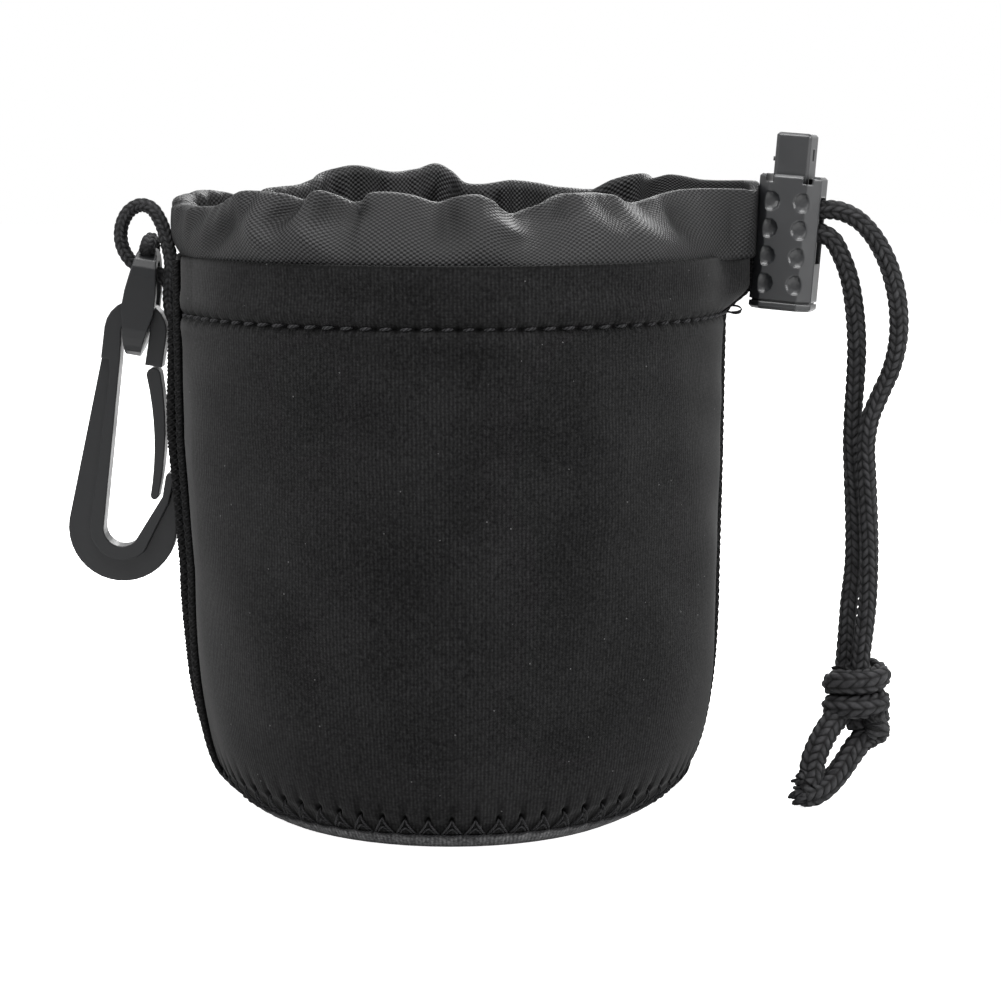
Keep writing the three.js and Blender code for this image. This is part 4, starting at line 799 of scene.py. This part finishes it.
# Painted shade and light: dark where the collar is tucked under the hem, darker in the folds' hollows and
# lighter on their ridges, lighter towards the crest, and darker at the spout's end and the left corner.
light = np.clip(rise / 0.05, 0.25, 1) * (0.84 + 0.38 * np.tanh(0.9 * creased)) * (1 + 0.14 * rise ** 5)
light *= (1 - 0.35 * at_end) * (1 - 0.25 * at_left)
shade = np.concatenate([np.full((3, columns), 0.25), light, np.repeat(light[-1:], 7 + flap_rows, axis=0)])
collar = skin("gathered_collar", collar_grid, collar_uv, "pouch", weave, shade, capped=False)
thick = collar.modifiers.new("cloth", "SOLIDIFY")
thick.thickness = 0.0005
thick.offset = 0
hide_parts("collar")

# Drawcord inside the channel. The same cord, drawn thinner, runs round under the folded rim, and its two
# ends lie against the free legs in the spout.
in_channel = (share > 0.085) & (share < 0.915)
lower = np.clip((np.abs(share - 0.5) - 0.36) / 0.055, 0, 1)[:, None]
run_line = 0.5 * (wall[-5] + flap[2]) * (1 - lower) + 0.5 * (wall[-11] + flap[4]) * lower
run_points = run_line[in_channel][::11]
channel = smooth_path(np.concatenate([
    [in_slot(107.5, -16.7), in_slot(107.5, -18.8), (42.2, 3.4, 107.6), (40.8, -3.6, 108.4)], run_points,
    [(38.4, 13.8, 111.2), (41.0, 8.6, 111.2), in_slot(111.6, -19.8), in_slot(111.6, -16.7)]]), 0.4)
channel_cord = plaited_cord("drawcord_in_channel", channel, 2.8, "pouch", (0, 0, 1), columns=24)
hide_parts("drawcord_channel_run")

# Cord lock and hook. Moulded black nylon plastic with a fine matte skin, its corners worn smooth.
moulded, shader, nodes, links = node_material("plastic")
shader.inputs["Specular IOR Level"].default_value = 0.5
object_place = add(nodes, "TexCoord")
grain = add(nodes, "TexNoise", in_2=1800.0, in_3=2.0)
scuff = add(nodes, "TexNoise", in_2=220.0, in_3=5.0)
for texture in (grain, scuff):
    links.new(object_place.outputs["Object"], texture.inputs[0])
rounded = add(nodes, "Bevel", samples=6, in_0=0.0005)
grain_bump = bumped(nodes, links, grain.outputs["Fac"], 0.15, 0.00005, rounded.outputs[0])
links.new(grain_bump, shader.inputs["Normal"])
gloss = span(nodes, links, scuff.outputs["Fac"], in_1=0.3, in_2=0.7, in_3=0.3, in_4=0.42)
links.new(gloss, shader.inputs["Roughness"])
shader.inputs["Base Color"].default_value = (0.009, 0.0095, 0.0105, 1)
duller = moulded.copy()
duller.name = "plastic_of_hook"
duller.node_tree.nodes["Principled BSDF"].inputs["Specular IOR Level"].default_value = 0.22
duller.node_tree.nodes["Principled BSDF"].inputs["Base Color"].default_value = (0.0075, 0.0078, 0.0085, 1)
for node in ("lock_barrel", "lock_plunger"):
    bpy.data.objects[node].material_slots[0].material = moulded
for node in ("hook_link", "hook_body", "hook_gate"):
    bpy.data.objects[node].material_slots[0].material = duller

# Spring. A coil of bright wire stands under the plunger inside the barrel. Its shape is the solid's
# own, and only its material is made here.
wire, shader, nodes, links = node_material("spring_steel")
shader.inputs["Metallic"].default_value = 1
shader.inputs["Base Color"].default_value = (0.55, 0.55, 0.57, 1)
drawn = add(nodes, "TexNoise", in_2=700.0)
object_place = add(nodes, "TexCoord")
links.new(object_place.outputs["Object"], drawn.inputs[0])
links.new(span(nodes, links, drawn.outputs["Fac"], in_3=0.25, in_4=0.45), shader.inputs["Roughness"])
bpy.data.objects["lock_spring"].material_slots[0].material = wire

# Hook's cord loop. A thinner cord of the same plait, sewn in under the hem. It stands up beside the
# collar, comes down through the link and goes back under the hem.
loop_route = [
    (-51.8, -0.8, 89.6), (-53.3, -0.8, 92.0), (-53.7, -0.8, 94.8), (-53.5, -0.9, 98.2), (-53.3, -1.0, 101.8),
    (-54.0, -0.9, 105.6), (-55.2, -0.6, 109.4), (-57.0, -0.1, 111.9), (-59.0, 0.5, 112.4),
    (-61.2, 1.1, 111.3), (-62.6, 1.4, 109.0), (-63.0, 1.6, 106.4), (-62.4, 1.6, 103.8), (-60.7, 1.6, 101.5),
    (-57.99, 1.6, 100.2), (-55.6, 1.6, 99.3), (-54.0, 1.7, 97.4), (-53.1, 1.8, 95.4), (-52.6, 1.8, 93.5),
]
loop_cord = plaited_cord("cord_loop_of_hook", smooth_path(loop_route, 0.2), 2.6, "pouch", pitch=1.15,
                         columns=36)
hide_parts("hook_cord_loop")

# Hitch. A flattened turn of the loop's cord is bent over the top of the link and pulled tight, so that
# the link hangs from it.
hitch_turn = np.radians(np.linspace(40, 140, 60))
hitch_u, hitch_v = -0.25, 13.6 + 6.6 * np.sin(hitch_turn)
hitch_path = np.stack([-60.4 + hitch_u * 0.98629 + hitch_v * 0.16505, 1.6 + 6.6 * np.cos(hitch_turn),
                       85.8 - hitch_u * 0.16505 + hitch_v * 0.98629], axis=1)
hitch = plaited_cord("hitch_over_link", smooth_path(hitch_path[::6], 0.2), 3.0, "link", (1, 0, 0), 1.3, 36)
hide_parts("hook_cord_hitch")

# Floor and light. White paper on a light table, with a soft lamp above, one to each side and one behind.
# What the camera sees of the paper is partly its own white, which leaves a soft shadow round the base.
floor_mesh = bpy.data.meshes.new("floor")
floor_mesh.from_pydata([(-3, -3, 0), (3, -3, 0), (3, 3, 0), (-3, 3, 0)], [], [(0, 1, 2, 3)])
floor = bpy.data.objects.new("floor", floor_mesh)
bpy.context.collection.objects.link(floor)
paper, shader, nodes, links = node_material("floor_paper")
shader.inputs["Base Color"].default_value = (0.9, 0.9, 0.9, 1)
shader.inputs["Roughness"].default_value = 0.9
shader.inputs["Specular IOR Level"].default_value = 0.0
seen = add(nodes, "LightPath")
plain = add(nodes, "Emission", in_0=(1, 1, 1, 1), in_1=0.86)
glow = add(nodes, "MixShader")
lit = add(nodes, "AddShader")
links.new(shader.outputs[0], lit.inputs[0])
links.new(plain.outputs[0], lit.inputs[1])
links.new(seen.outputs["Is Camera Ray"], glow.inputs[0])
links.new(shader.outputs[0], glow.inputs[1])
links.new(lit.outputs[0], glow.inputs[2])
links.new(glow.outputs[0], nodes["Material Output"].inputs["Surface"])
floor_mesh.materials.append(paper)

world = bpy.data.worlds.new("studio")
bpy.context.scene.world = world
world.use_nodes = True
nodes, links = world.node_tree.nodes, world.node_tree.links
nodes["Background"].inputs["Color"].default_value = (1, 1, 1, 1)
nodes["Background"].inputs["Strength"].default_value = 0.3
seen = add(nodes, "LightPath")
bright = add(nodes, "Background", in_0=(1, 1, 1, 1), in_1=1.0)
choose = add(nodes, "MixShader")
shown = add(nodes, "Math", operation="MAXIMUM")
links.new(seen.outputs["Is Camera Ray"], shown.inputs[0])
links.new(seen.outputs["Is Glossy Ray"], shown.inputs[1])
links.new(shown.outputs[0], choose.inputs[0])
links.new(nodes["Background"].outputs[0], choose.inputs[1])
links.new(bright.outputs[0], choose.inputs[2])
links.new(choose.outputs[0], nodes["World Output"].inputs["Surface"])


def soft_lamp(name, place, aim, size, power):
    """Square area lamp of a size and power at a place, turned to face an aim point."""
    data = bpy.data.lights.new(name, "AREA")
    data.size = size
    data.energy = power
    lamp = bpy.data.objects.new(name, data)
    lamp.location = place
    toward = np.array(aim, float) - np.array(place, float)
    flat = np.hypot(toward[0], toward[1])
    lamp.rotation_euler = (np.arctan2(flat, -toward[2]), 0, np.arctan2(toward[1], toward[0]) - np.pi / 2)
    bpy.context.collection.objects.link(lamp)


soft_lamp("top_lamp", (-0.1, -0.3, 0.95), (0, 0, 0.05), 0.45, 15)
soft_lamp("left_lamp", (-0.85, -0.4, 0.5), (0, 0, 0.06), 0.35, 5.5)
soft_lamp("right_lamp", (0.85, -0.3, 0.45), (0, 0, 0.06), 0.35, 10)
soft_lamp("rear_lamp", (0.15, 0.9, 0.6), (0, 0, 0.06), 0.45, 7)

bpy.context.scene.view_settings.view_transform = "Standard"
